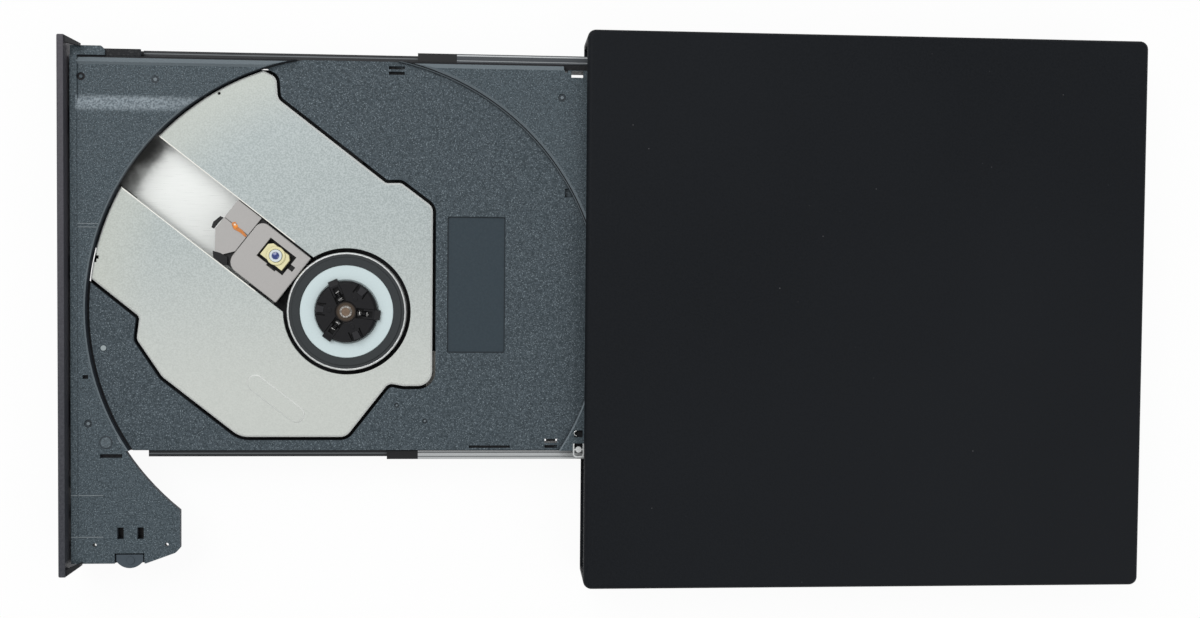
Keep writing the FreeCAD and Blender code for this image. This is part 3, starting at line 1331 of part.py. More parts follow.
def deck_ridges():
    """The small raised lines and the round boss on the deck."""
    z = (DECK - OVERLAP, DECK + RIDGE_RISE)
    boss_at = polar(RECESS_RADIUS + BOSS_BEYOND_RECESS, BOSS_ANGLE)
    pieces = [disc(BOSS_RADIUS, (DECK - OVERLAP, DECK + BOSS_RISE), boss_at)]
    for side in FRONT_RIDGE_SIDES:
        pieces.append(box((LINE_X, LINE_X + FRONT_RIDGE_LENGTH), around(side, LINE_WIDTH), z))
    for side in WING_RIDGE_SIDES:
        x = (TRAY_FRONT, TRAY_FRONT + WING_RIDGE_LENGTH)
        pieces.append(box(x, around(WING_SIDE + side, LINE_WIDTH), z))
    return pieces


def rim_bevel(size):
    """A slope round the recess's upper edge."""
    inner = RECESS_RADIUS - BEVEL_SINK
    return turned([
        (inner, DECK - size - BEVEL_SINK),
        (RECESS_RADIUS + size + PAST, DECK + PAST),
        (inner, DECK + PAST),
    ])


def deck_cuts():
    """The bevels, the ramp, the front line and the round marks on the tray's upper side."""
    above = DECK + PAST
    shoulder = DECK_LEFT - EDGE_BEVEL_WIDTH
    outside = DECK_LEFT + BEVEL_SINK
    slope = EDGE_BEVEL_DEPTH / EDGE_BEVEL_WIDTH
    edge_profile = [
        (shoulder, DECK),
        (outside, DECK - EDGE_BEVEL_DEPTH - slope * BEVEL_SINK),
        (outside, above),
        (shoulder, above),
    ]
    ramp_profile = [
        (RAMP_Y[0], DECK),
        (RAMP_Y[1], DECK - RAMP_DEPTH),
        (shoulder - RAMP_RETURN, DECK - RAMP_DEPTH),
        (shoulder, DECK),
        (shoulder, above),
        (RAMP_Y[0], above),
    ]
    quarter = box((0, TRAY_REAR + BEYOND), (0, DECK_LEFT + BEYOND), (FLOOR, above))
    cuts = [
        wedge(edge_profile, LINE_X, REAR_STEP_X),
        wedge(ramp_profile, LINE_X, -RECESS_RADIUS / 4),
        rim_bevel(BROAD_BEVEL).common(quarter),
        rim_bevel(SLIM_BEVEL).cut(quarter),
    ]
    line_y = (WING_SIDE + WING_RIDGE_SIDES[0], RAMP_Y[0])
    cuts.append(box(around(LINE_X, LINE_WIDTH), line_y, (DECK - LINE_DEPTH, above)))
    for place in MARK_PLACES:
        cuts.append(ring(MARK_RADIUS, MARK_CORE_RADIUS, (DECK - MARK_DEPTH, above), place))
    corner_z = (DECK - RAMP_DEPTH - MARK_DEPTH, above)
    cuts.append(ring(MARK_RADIUS, MARK_CORE_RADIUS, corner_z, CORNER_MARK_PLACE))
    return cuts


def floor_cuts():
    """The label's bare panel, the blind pockets and the marks in the disc floor."""
    above = FLOOR + PAST
    pocket = (FLOOR - POCKET_DEPTH, above)
    cuts = [rounded(LABEL_X, LABEL_Y, (FLOOR - LABEL_DEPTH, DECK + PAST), LABEL_CORNER)]
    for inset in LEFT_SLOT_INSETS:
        y = (DECK_LEFT - inset, DECK_LEFT - inset + LEFT_SLOT_WIDTH)
        cuts.append(box(LEFT_SLOT_X, y, pocket))
    slot_y = (DECK_RIGHT + LONG_SLOT_SIDES[0], DECK_RIGHT + LONG_SLOT_SIDES[1])
    cuts.append(box(LONG_SLOT_X, slot_y, (FLOOR - LONG_SLOT_DEPTH, above)))
    x, y = polar(RECESS_RADIUS - RIM_NOTCH_INSET, RIM_NOTCH_ANGLE)
    notch = box(around(x, RIM_NOTCH_SIZE), around(y, RIM_NOTCH_SIZE), pocket)
    cuts.append(notch.common(disc(RECESS_RADIUS, pocket)))
    groove = ring(RECESS_RADIUS, RECESS_RADIUS - FLOOR_GROOVE_WIDTH, (FLOOR - FLOOR_GROOVE_DEPTH, above))
    corner = (-RECESS_RADIUS, -RECESS_RADIUS)
    arc = box((corner[0], FLOOR_GROOVE_ENDS[0]), (corner[1], FLOOR_GROOVE_ENDS[1]), (0, above))
    cuts.append(groove.common(arc))
    for place in FLOOR_MARK_PLACES:
        cuts.append(ring(FLOOR_MARK_RADIUS, FLOOR_MARK_CORE_RADIUS, (FLOOR - MARK_DEPTH, above), place))
    cuts.append(disc(PIN_RADIUS + PIN_CLEARANCE, (FLOOR_BOTTOM - PAST, above), tray_pin_place()))
    return cuts


def snap_cuts():
    """The hole by the right edge, with a low tab left in it, and the blind slot beside it."""
    x = (TRAY_REAR - SNAP_HOLE_INSET - SNAP_HOLE_LENGTH, TRAY_REAR - SNAP_HOLE_INSET)
    y = (DECK_RIGHT + SNAP_HOLE_SIDES[0], DECK_RIGHT + SNAP_HOLE_SIDES[1])
    above = FLOOR + PAST
    hole = box(x, y, (FLOOR_BOTTOM - PAST, above))
    middle = (x[0] + x[1]) / 2
    tab_y = (y[1] - SNAP_TAB_WIDTH, y[1] + PAST)
    tab = box(around(middle, SNAP_TAB_LENGTH), tab_y, (FLOOR_BOTTOM, FLOOR - POCKET_DEPTH))
    slot_y = (DECK_RIGHT + SNAP_SLOT_SIDES[0], DECK_RIGHT + SNAP_SLOT_SIDES[1])
    return [hole.cut(tab), box(x, slot_y, (FLOOR - POCKET_DEPTH, above))]


def front_cuts():
    """The blind slots at the tray's front edge and beside the boss, and the holes in the wing."""
    above = DECK + PAST
    pocket = (DECK - POCKET_DEPTH, above)
    slot_x = (TRAY_FRONT + FRONT_SLOT_INSETS[0], TRAY_FRONT + FRONT_SLOT_INSETS[1])
    boss_x = (TRAY_FRONT + BOSS_SLOT_INSETS[0], TRAY_FRONT + BOSS_SLOT_INSETS[1])
    boss_y = (DECK_RIGHT - BOSS_SLOT_SIDES[1], DECK_RIGHT - BOSS_SLOT_SIDES[0])
    bar_z = (DECK - FRONT_BAR_DEPTH, above)
    cuts = [
        box(slot_x, FRONT_SLOT_SIDES, pocket),
        box(boss_x, boss_y, pocket),
        box((LINE_X, LINE_X + FRONT_BAR_LENGTH), FRONT_BAR_SIDES, bar_z),
    ]
    through = (SKIN_BOTTOM - PAST, above)
    cuts.extend(coil_windows(through))
    cuts.extend(disc(HOLE_MARK_RADIUS, through, place) for place in WING_HOLES)
    return cuts


def coil_windows(z):
    """The two openings over the latch's coil."""
    windows = []
    for inset in COIL_WINDOW_INSETS:
        start = TRAY_FRONT + inset
        windows.append(box((start, start + COIL_WINDOW_LENGTH), COIL_WINDOW_Y, z))
    return windows


def rear_corner_cuts():
    """The stepped rear corner on the left, with the hole and the slit beside it."""
    step_y = (DECK_LEFT - REAR_STEP_WIDTH, DECK_LEFT + PAST)
    hole_y = (DECK_LEFT - REAR_HOLE_SIDES[0], DECK_LEFT - REAR_HOLE_SIDES[1])
    slit_y = (DECK_LEFT - REAR_SLIT_SIDES[0], DECK_LEFT - REAR_SLIT_SIDES[1])
    above = DECK + PAST
    return [
        box((REAR_STEP_X, TRAY_REAR + PAST), step_y, (FLOOR, above)),
        box((TRAY_REAR - REAR_HOLE_INSETS[0], TRAY_REAR - REAR_HOLE_INSETS[1]), hole_y, (0, above)),
        box((TRAY_REAR - REAR_SLIT_INSETS[0], TRAY_REAR - REAR_SLIT_INSETS[1]), slit_y, (0, above)),
    ]


def clip_cuts():
    """The two pockets in the deck under the metal clip and beside it."""
    x = grown(CLIP_X, -CLIP_RIM)
    z = (DECK - CLIP_POCKET, DECK + PAST)
    hook_y = (DECK_RIGHT + HOOK_POCKET_SIDES[0], DECK_RIGHT + HOOK_POCKET_SIDES[1])
    return [box(x, (DECK_RIGHT - PAST, CLIP_Y[1]), z), box(x, hook_y, z)]


def latch_seat_cuts():
    """The wing's cut-out for the latch's head, down to its ledge."""
    head_y = (WING_SIDE - LATCH_HEAD_RADIUS, LATCH_HEAD_Y + LATCH_HEAD_GAP)
    head = box(grown(LATCH_HEAD_X, LATCH_HEAD_GAP), head_y, (SKIN_BOTTOM + LATCH_LEDGE, DECK + PAST))
    pivot_z = (SKIN_BOTTOM - LATCH_LEDGE - PAST, DECK + PAST)
    return [head, disc(LATCH_PIVOT_RADIUS + ROD_FIT, pivot_z, LATCH_PIVOT)]


def front_wall_cuts():
    """The openings in the tray's front wall for the button and the light."""
    x = (TRAY_FRONT - PAST, TRAY_FRONT + TRAY_WALL + PAST)
    top = BUTTON_TOP + BUTTON_WINDOW_RISE
    width = BUTTON_WIDTH + 2 * BUTTON_FLANGE + 4 * BUTTON_GAP
    button = box(x, around(BUTTON_Y, width), (BUTTON_BOTTOM - BUTTON_FLANGE - 2 * BUTTON_GAP, top))
    light_z = (BUTTON_TOP - LIGHT_HEIGHT - LIGHT_WINDOW_DROP, top)
    return [button, box(x, around(LIGHT_Y, 2 * LIGHT_WIDTH), light_z)]


def ribbon_slot():
    """The slot in the tray's rear skirt for its flat cable."""
    z = grown((RIB_BOTTOM - RIBBON_THICKNESS, RIB_BOTTOM), RIBBON_THICKNESS)
    x = (TRAY_REAR - TRAY_WALL - PAST, TRAY_REAR + PAST)
    return box(x, grown(TRAY_RIBBON_Y, RIBBON_THICKNESS), z)


def tray():
    """The moulded tray: deck, disc recess, front wing and its underside."""
    opening = traverse_plan(PLATE_GAP, (FLOOR_BOTTOM - PAST, FLOOR + PAST), RECESS_RADIUS)
    recess = disc(RECESS_RADIUS, (FLOOR, DECK + PAST))
    shell = joined(without(tray_shell(), opening, recess), *tray_underside())
    cuts = deck_cuts() + floor_cuts() + snap_cuts() + front_cuts() + rear_corner_cuts()
    cuts += clip_cuts() + latch_seat_cuts() + front_wall_cuts() + [ribbon_slot()]
    for place in DAMPER_PLACES:
        cuts.append(disc(SMALL_SCREW_RADIUS + ROD_FIT, (0, FLOOR_BOTTOM), place))
    return in_tray(without(shell, *cuts))


def bezel_flange(end, inward, slant):
    """The low wall behind one end of the bezel, slanted towards the tray."""
    root = BEZEL_BACK - FLANGE_ROOT
    tip = BEZEL_BACK + FLANGE_LENGTH
    corners = [
        (root, end),
        (tip, end + inward * slant),
        (tip, end + inward * (slant + FLANGE_WALL)),
        (root, end + inward * 2 * FLANGE_WALL),
    ]
    top = LID_BOTTOM - BEZEL_CLEARANCE
    return slab(corners, (top - FLANGE_HEIGHT, top))


def bezel():
    """The front plate with its slanted ends, its button window and its pinhole."""
    z = (DRIVE_BOTTOM + BEZEL_CLEARANCE, DRIVE_TOP - BEZEL_CLEARANCE)
    plate = box((BEZEL_FRONT, BEZEL_BACK), (BEZEL_RIGHT, BEZEL_LEFT), z)
    plate = plate.makeFillet(BEZEL_EDGE_RADIUS, front_edges(plate, BEZEL_FRONT))
    pieces = [
        bezel_flange(BEZEL_RIGHT, 1, RIGHT_FLANGE_SLANT),
        bezel_flange(BEZEL_LEFT, -1, LEFT_FLANGE_SLANT),
    ]
    button_z = (BUTTON_BOTTOM, BUTTON_TOP)
    for place in STUD_PLACES:
        pieces.append(box((BEZEL_BACK - FLANGE_ROOT, TRAY_FRONT), around(place, STUD_WIDTH), button_z))
    through = (BEZEL_FRONT - PAST, BEZEL_BACK + PAST)
    button = box(through, grown(around(BUTTON_Y, BUTTON_WIDTH), BUTTON_GAP), grown(button_z, BUTTON_GAP))
    light_z = (BUTTON_TOP - LIGHT_HEIGHT, BUTTON_TOP)
    light = box(through, grown(around(LIGHT_Y, LIGHT_WIDTH), LIGHT_GAP), grown(light_z, LIGHT_GAP))
    pinhole_ends = [(x, PINHOLE_Y, BUTTON_MIDDLE) for x in through]
    pinhole = bar(PINHOLE_RADIUS, *pinhole_ends)
    return in_tray(without(joined(plate, *pieces), button, light, pinhole))


def eject_button():
    """The button's cap, its retaining flange and the stem that meets the switch."""
    face = BEZEL_FRONT - BUTTON_PROUD
    width = around(BUTTON_Y, BUTTON_WIDTH)
    cap = box((face, BUTTON_BACK + BUTTON_FLANGE), width, (BUTTON_BOTTOM, BUTTON_TOP))
    cap = cap.makeFillet(BUTTON_EDGE_RADIUS, front_edges(cap, face))
    flange_x = (BUTTON_BACK, BUTTON_BACK + BUTTON_FLANGE)
    flange = box(flange_x, grown(width, BUTTON_FLANGE), (BUTTON_BOTTOM - BUTTON_FLANGE, BUTTON_TOP))
    stem_x = (BUTTON_BACK, SWITCH_FACE - BUTTON_TRAVEL - ROD_FIT)
    stem = box(stem_x, around(BUTTON_Y, BUTTON_STEM), around(BUTTON_MIDDLE, BUTTON_STEM))
    return in_tray(joined(cap, flange, stem))


def eject_switch():
    """The push switch behind the button."""
    start = SWITCH_FACE + SWITCH_TIP_LENGTH
    body_x = (start, SWITCH_FACE + SWITCH_LENGTH)
    body = box(body_x, around(BUTTON_Y, SWITCH_WIDTH), (BUTTON_BOTTOM, PANEL_BOARD_BOTTOM))
    tip_end = (start + SWITCH_TIP_LENGTH, BUTTON_Y, BUTTON_MIDDLE)
    tip = bar(SWITCH_TIP_RADIUS, (SWITCH_FACE, BUTTON_Y, BUTTON_MIDDLE), tip_end)
    return in_tray(joined(body, tip))


def panel_board():
    """The small board under the wing that carries the switch and the light."""
    start = WING_SIDE + PANEL_BOARD_SIDE
    x = (BOARD_FACE, BOARD_FACE + PANEL_BOARD_LENGTH)
    board = box(x, (start, start + PANEL_BOARD_WIDTH), (PANEL_BOARD_BOTTOM, SKIN_BOTTOM))
    return in_tray(board.cut(disc(PANEL_HOLE_RADIUS, (0, DECK), WING_HOLES[0])))


def activity_light():
    """The clear light pipe in the bezel."""
    x = (BEZEL_FRONT + LIGHT_SINK, BOARD_FACE - LIGHT_BOARD_GAP)
    return in_tray(box(x, around(LIGHT_Y, LIGHT_WIDTH), (BUTTON_TOP - LIGHT_HEIGHT, BUTTON_TOP)))


def latch_lever():
    """The latch: a half-round head on the wing, its pivot, and an arm with a hooked nose."""
    pivot_x, pivot_y = LATCH_PIVOT
    z = (SKIN_BOTTOM + LATCH_LEDGE + LATCH_FLOOR_GAP, DECK - LATCH_TOP_DROP)
    middle = (LATCH_HEAD_X[0] + LATCH_HEAD_X[1]) / 2
    curve = disc(LATCH_HEAD_RADIUS, z, (middle, LATCH_HEAD_Y + LATCH_HEAD_CENTRE))
    head = curve.common(box(LATCH_HEAD_X, (LATCH_HEAD_Y - LATCH_HEAD_RADIUS, LATCH_HEAD_Y), z))
    pivot = disc(LATCH_PIVOT_RADIUS, (LATCH_ARM_TOP - LATCH_JOIN, z[0] + LATCH_JOIN), LATCH_PIVOT)
    boss = disc(LATCH_BOSS_RADIUS, (z[1] - LATCH_JOIN, DECK), LATCH_PIVOT)
    nose_x = LATCH_POST[0] + LATCH_POST_RADIUS + LATCH_NOSE_GAP
    edge = pivot_y - LATCH_ARM_EDGE
    corners = [(nose_x, edge)]
    corners += [(pivot_x + x, pivot_y + y) for x, y in LATCH_ARM_CORNERS]
    corners.append((nose_x, edge + LATCH_ARM_WIDTH))
    arm = slab(corners, (LATCH_ARM_BOTTOM, LATCH_ARM_TOP))
    nose_z = (LATCH_ARM_BOTTOM - LATCH_NOSE_DROP, LATCH_ARM_BOTTOM + LATCH_JOIN)
    nose = box((nose_x, nose_x + LATCH_NOSE_LENGTH), (edge, edge + LATCH_NOSE_WIDTH), nose_z)
    return in_tray(joined(head, pivot, boss, arm, nose))


def latch_solenoid():
    """The coil that frees the latch, under the wing."""
    x = TRAY_FRONT + COIL_SETBACK
    y = WING_SIDE + COIL_SIDE
    body = box((x, x + COIL_LENGTH), (y, y + COIL_WIDTH), (SKIN_BOTTOM - COIL_HEIGHT, SKIN_BOTTOM))
    rod_x = TRAY_FRONT + COIL_PLUNGER_SETBACK
    rod_z = (LATCH_ARM_BOTTOM + LATCH_ARM_TOP) / 2
    root = (rod_x, y + COIL_PLUNGER_ROOT, rod_z)
    tip = (rod_x, LATCH_PIVOT[1] + COIL_PLUNGER_GAP, rod_z)
    windows = coil_windows((SKIN_BOTTOM - COIL_WINDOW_SINK, SKIN_BOTTOM + PAST))
    return in_tray(without(joined(body, bar(COIL_PLUNGER_RADIUS, root, tip)), *windows))


def tray_pin_place():
    """Where the pale pin stands in the disc floor."""
    return polar(RECESS_RADIUS - PIN_INSET, PIN_ANGLE)


def tray_pin():
    """The pale pin in the disc floor."""
    return in_tray(disc(PIN_RADIUS, (FLOOR_BOTTOM, FLOOR + PIN_RISE), tray_pin_place()))


def tray_clip():
    """The metal clip on the deck's right rear corner: a bent rim, a screw head on a bridge and a fold."""
    z = (DECK, DECK + CLIP_SHEET)
    corners = [
        (CLIP_X[0], CLIP_Y[0], CLIP_CORNER),
        (CLIP_X[1], CLIP_Y[0], CLIP_CORNER),
        (CLIP_X[1], CLIP_Y[1]),
        (CLIP_X[0], CLIP_Y[1]),
    ]
    inner = CLIP_CORNER - CLIP_RIM
    hollow_x = grown(CLIP_X, -CLIP_RIM)
    hollow = slab(
        [
            (hollow_x[0], CLIP_Y[0] + CLIP_RIM, inner),
            (hollow_x[1], CLIP_Y[0] + CLIP_RIM, inner),
            (hollow_x[1], CLIP_Y[1] + PAST),
            (hollow_x[0], CLIP_Y[1] + PAST),
        ],
        z,
    )
    rim = slab(corners, z).cut(hollow)
    bridge = box(CLIP_X, around(CLIP_MIDDLE[1], CLIP_RIM), (DECK, DECK + CLIP_SHEET / 2))
    fold_x = (TRAY_REAR - CLIP_FOOT_INSETS[0], TRAY_REAR - CLIP_FOOT_INSETS[1])
    fold = box(fold_x, (CLIP_Y[0], CLIP_Y[0] + CLIP_RIM), (z[1] - CLIP_FOLD, z[1]))
    return in_tray(joined(rim, bridge, disc(CLIP_HEAD_RADIUS, z, CLIP_MIDDLE), fold))


def tray_ribbon():
    """The flat cable that runs under the tray's ribs to its rear."""
    z = (RIB_BOTTOM - RIBBON_THICKNESS, RIB_BOTTOM)
    return in_tray(box((TRAVERSE_EDGE - FRAME_INSET, TRAY_REAR), TRAY_RIBBON_Y, z))


def cover_emboss():
    """The long raised oval on the traverse cover."""
    half = EMBOSS_LENGTH / 2
    side = EMBOSS_WIDTH / 2
    top = PLATE_TOP + EMBOSS_RISE
    raised = rounded((-half, half), (-side, side), (PLATE_TOP - EMBOSS_ROOT, top), side - EMBOSS_FLAT)
    raised = raised.makeChamfer(EMBOSS_RISE - EMBOSS_LAND, upper_edges(raised, top))
    return aligned(moved(raised, *EMBOSS_PLACE))


def traverse_cover():
    """The bright plate over the traverse, with the pickup's slot and the turntable's hole."""
    plate = traverse_plan(0.0, (PLATE_BOTTOM, PLATE_TOP), PLATE_RADIUS)
    plate = plate.makeChamfer(PLATE_BEVEL, upper_edges(plate, PLATE_TOP))
    through = (PLATE_BOTTOM - PAST, PLATE_TOP + PAST)
    notch_x = [inset - PLATE_RADIUS for inset in PLATE_NOTCH_INSETS]
    tick_x = [inset - PLATE_RADIUS for inset in PLATE_TICK_INSETS]
    cuts = [
        aligned(box((0, PLATE_RADIUS + BEYOND), (SLOT_LOW_SIDE, SLOT_HIGH_SIDE), through)),
        disc(HOLE_RADIUS, through),
        box(notch_x, PLATE_NOTCH_SIDES, through),
        box(tick_x, PLATE_TICK_SIDES, through),
        disc(PLATE_DOT_RADIUS, through, polar(PLATE_RADIUS - PLATE_DOT_INSET, PLATE_DOT_ANGLE)),
    ]
    return in_tray(joined(without(plate, *cuts), cover_emboss()))


def tray_inside(z):
    """The room between the tray's skirts."""
    return box(INSIDE_X, INSIDE_Y, z)


def ear(place, root):
    """An arm that reaches from a place in the traverse frame out to a rubber mount."""
    along = (place[0] - root[0], place[1] - root[1])
    angle = math.degrees(math.atan2(along[1], along[0]))
    arm = spun(box((0, math.hypot(*along)), around(0.0, EAR_WIDTH), EAR_Z), angle)
    return joined(moved(arm, *root), disc(DAMPER_RADIUS + EAR_MARGIN, EAR_Z, place))


def frame_walls():
    """The frame's shallow tray-shaped body, clear of the rubber mounts and what they hang from."""
    radius = PLATE_RADIUS - FRAME_INSET
    body = traverse_plan(-FRAME_INSET, (FRAME_BOTTOM, PLATE_BOTTOM), radius)
    hollow = traverse_plan(-FRAME_INSET - FRAME_WALL, (FRAME_FLOOR, PLATE_BOTTOM + PAST), radius - FRAME_WALL)
    cuts = [hollow]
    for place in DAMPER_PLACES:
        cuts.append(disc(DAMPER_RADIUS + FRAME_GAP, (0, EAR_Z[0]), place))
        cuts.append(disc(DAMPER_BOSS_RADIUS + FRAME_GAP, (EAR_Z[1], DECK), place))
    return without(body, *cuts)


def frame_rim():
    """The thin flange round the frame's foot, open in the pickup's way and at the rubber mounts."""
    z = (FRAME_BOTTOM, FRAME_BOTTOM + RIM_SHEET)
    outer = traverse_plan(FRAME_RIM, z, RECESS_RADIUS + RIM_RADIUS_GAP)
    inner = traverse_plan(-FRAME_INSET - FRAME_WALL, z, PLATE_RADIUS - FRAME_INSET - FRAME_WALL)
    way = box((0, RECESS_RADIUS + BEYOND), grown((SLOT_LOW_SIDE, SLOT_HIGH_SIDE), PICKUP_WAY), z)
    cuts = [inner, aligned(way)]
    for place in DAMPER_PLACES:
        cuts.append(disc(DAMPER_RADIUS + FRAME_GAP, z, place))
    return without(outer, *cuts)


def frame_beams():
    """The beams beside the pickup's window and the blocks that hold the rods' ends."""
    low, high = WINDOW_SIDES
    tall = (FRAME_BOTTOM, ROD_Z + BLOCK_RISE)
    end_x = (BLOCK_START, ROD_END)
    wall = ROD_RADIUS + END_BLOCK_WALL
    start_width = 2 * (ROD_RADIUS + START_BLOCK_WALL)
    beams = [
        box((0, ROD_END), (low - FRAME_BEAM, low), tall),
        box((SIDE_ROD_START, ROD_END), (high, high + FRAME_BEAM), tall),
        box(end_x, (low, high), (FRAME_BOTTOM, FRAME_BOTTOM + CROSS_SHEET)),
        box(end_x, (low, MAIN_ROD_SIDE + wall), tall),
        box(end_x, (SIDE_ROD_SIDE - wall, high), tall),
    ]
    for start, side in ((ROD_START, MAIN_ROD_SIDE), (SIDE_ROD_START, SIDE_ROD_SIDE)):
        beams.append(box((start, start + START_BLOCK), around(side, start_width), tall))
    return [aligned(beam) for beam in beams]


def frame_bores():
    """The holes in the frame for the rods, the feed screw, its motor, the spindle and the mounts."""
    far = ROD_END + BEYOND
    screw_end = ROD_END - SCREW_TIP + ROD_TIP
    fit = ROD_RADIUS + ROD_FIT
    motor_ends = [(x, SCREW_SIDE, SCREW_Z) for x in (MOTOR_START - PAST, WINDOW_START)]
    bores = [
        bar(fit, (ROD_START - PAST, MAIN_ROD_SIDE, ROD_Z), (far, MAIN_ROD_SIDE, ROD_Z)),
        bar(fit, (SIDE_ROD_START - PAST, SIDE_ROD_SIDE, ROD_Z), (far, SIDE_ROD_SIDE, ROD_Z)),
        bar(fit, (ROD_START, SCREW_SIDE, SCREW_Z), (screw_end, SCREW_SIDE, SCREW_Z)),
        bar(MOTOR_RADIUS + ROD_FIT, *motor_ends),
    ]
    cuts = [aligned(bore) for bore in bores]
    cuts.append(disc(BASE_HOLE_RADIUS, (0, DECK)))
    cuts.append(ring(HOLE_RADIUS + TURNTABLE_ROOM, BASE_HOLE_RADIUS - PAST, (FRAME_FLOOR, DECK)))
    for place in DAMPER_PLACES:
        cuts.append(disc(DAMPER_NECK_RADIUS + ROD_FIT, (0, DECK), place))
    return cuts


def traverse_frame():
    """The frame that carries the motor, the guide rods and the feed screw."""
    window = box((WINDOW_START, ROD_END + BEYOND), WINDOW_SIDES, (0, DECK))
    frame = joined(frame_walls(), *[ear(place, root) for place, root in zip(DAMPER_PLACES, EAR_ROOTS)])
    frame = joined(frame.cut(aligned(window)), *frame_beams(), frame_rim())
    frame = frame.common(tray_inside((0, DECK)))
    return in_tray(without(frame, *frame_bores()))


def bottom_shield():
    """The bright sheet under the traverse, seen through the pickup's slot."""
    z = (FRAME_BOTTOM - SHIELD_SHEET, FRAME_BOTTOM)
    low, high = grown(WINDOW_SIDES, FRAME_BEAM)
    length = (-BASE_RADIUS - SHIELD_CORNER, ROD_END + SHIELD_MARGIN)
    sheet = rounded(length, (low, high + SHIELD_SIDE), z, SHIELD_CORNER)
    return in_tray(aligned(sheet).common(tray_inside(z)).cut(disc(SHIELD_HOLE_RADIUS, z)))


def guide_rod(side, start):
    """A polished rod along the pickup's travel."""
    return in_feed(bar(ROD_RADIUS, (start, side, ROD_Z), (ROD_END - ROD_TIP, side, ROD_Z)))


def main_guide_rod():
    """The rod that the pickup's sleeve runs on."""
    return guide_rod(MAIN_ROD_SIDE, ROD_START)


def side_guide_rod():
    """The rod that the pickup's fork runs on."""
    return guide_rod(SIDE_ROD_SIDE, SIDE_ROD_START)


def feed_motor():
    """The stepping motor that turns the feed screw."""
    side = MOTOR_RADIUS - FLANGE_STEP
    can = bar(MOTOR_RADIUS, (MOTOR_START, SCREW_SIDE, SCREW_Z), (MOTOR_END, SCREW_SIDE, SCREW_Z))
    flange_x = (MOTOR_END, MOTOR_END + MOTOR_FLANGE)
    flange = box(flange_x, around(SCREW_SIDE, 2 * side), (FRAME_FLOOR, SCREW_Z + side))
    hole_start = (MOTOR_END - SCREW_STUB_LENGTH, SCREW_SIDE, SCREW_Z)
    hole_end = (flange_x[1] + PAST, SCREW_SIDE, SCREW_Z)
    return in_feed(joined(can, flange).cut(bar(SCREW_STUB_RADIUS + ROD_FIT, hole_start, hole_end)))


def lead_screw():
    """The feed screw, with its helical groove."""
    start = MOTOR_END + MOTOR_FLANGE + ROD_FIT
    length = ROD_END - SCREW_TIP - start
    shank = Part.makeCylinder(ROD_RADIUS, length)
    stub = Part.makeCylinder(SCREW_STUB_RADIUS, SCREW_STUB_LENGTH, FreeCAD.Vector(0, 0, -SCREW_STUB_LENGTH))
    first, last = SCREW_PLAIN_ENDS
    helix = Part.makeHelix(SCREW_PITCH, length - first - last, ROD_RADIUS)
    helix.translate(FreeCAD.Vector(0, 0, first))
    top = SCREW_GROOVE_WIDTH / 2
    root = SCREW_GROOVE_ROOT / 2
    sections = [
        (ROD_RADIUS - SCREW_GROOVE, first - root),
        (ROD_RADIUS + SCREW_GROOVE, first - top),
        (ROD_RADIUS + SCREW_GROOVE, first + top),
        (ROD_RADIUS - SCREW_GROOVE, first + root),
    ]
    points = [FreeCAD.Vector(radius, 0, z) for radius, z in sections]
    groove = Part.Wire(helix.Edges).makePipeShell([Part.makePolygon(points + points[:1])], True, True)
    screw = joined(shank, stub).cut(groove)
    screw.rotate(FreeCAD.Vector(0, 0, 0), FreeCAD.Vector(0, 1, 0), 90)
    screw.translate(FreeCAD.Vector(start, SCREW_SIDE, SCREW_Z))
    return in_feed(screw)


def mount_dampers():
    """The three rubber mounts between the frame and the tray."""
    hole = SMALL_SCREW_RADIUS + ROD_FIT
    profile = [
        (hole, DAMPER_BOTTOM),
        (DAMPER_RADIUS, DAMPER_BOTTOM),
        (DAMPER_RADIUS, EAR_Z[0]),
        (DAMPER_NECK_RADIUS, EAR_Z[0]),
        (DAMPER_NECK_RADIUS, EAR_Z[1]),
        (DAMPER_RADIUS, EAR_Z[1]),
        (DAMPER_RADIUS, DAMPER_TOP),
        (hole, DAMPER_TOP),
    ]
    return in_tray(group([turned(profile, place) for place in DAMPER_PLACES]))


def damper_screws():
    """The screws through the rubber mounts into the tray."""
    start = DAMPER_BOTTOM - SMALL_HEAD_HEIGHT
    length = FLOOR_BOTTOM - SCREW_END_GAP - DAMPER_BOTTOM
    size = (SMALL_SCREW_RADIUS, SMALL_HEAD_RADIUS, SMALL_HEAD_HEIGHT, length)
    return in_tray(group([cross_screw(*size, place, start) for place in DAMPER_PLACES]))


def spindle_base():
    """The motor's base plate and bearing sleeve."""
    plate = disc(BASE_RADIUS, (FRAME_FLOOR, FRAME_FLOOR + BASE_THICKNESS))
    low = FRAME_BOTTOM + SLEEVE_RISE
    sleeve = disc(SLEEVE_RADIUS, (low, CUP_TOP - TURNTABLE_PLATE - SLEEVE_GAP))
    bore = disc(SHAFT_RADIUS + SPINDLE_FIT, (low + SLEEVE_FLOOR, DECK))
    return in_tray(joined(plate, sleeve).cut(bore))


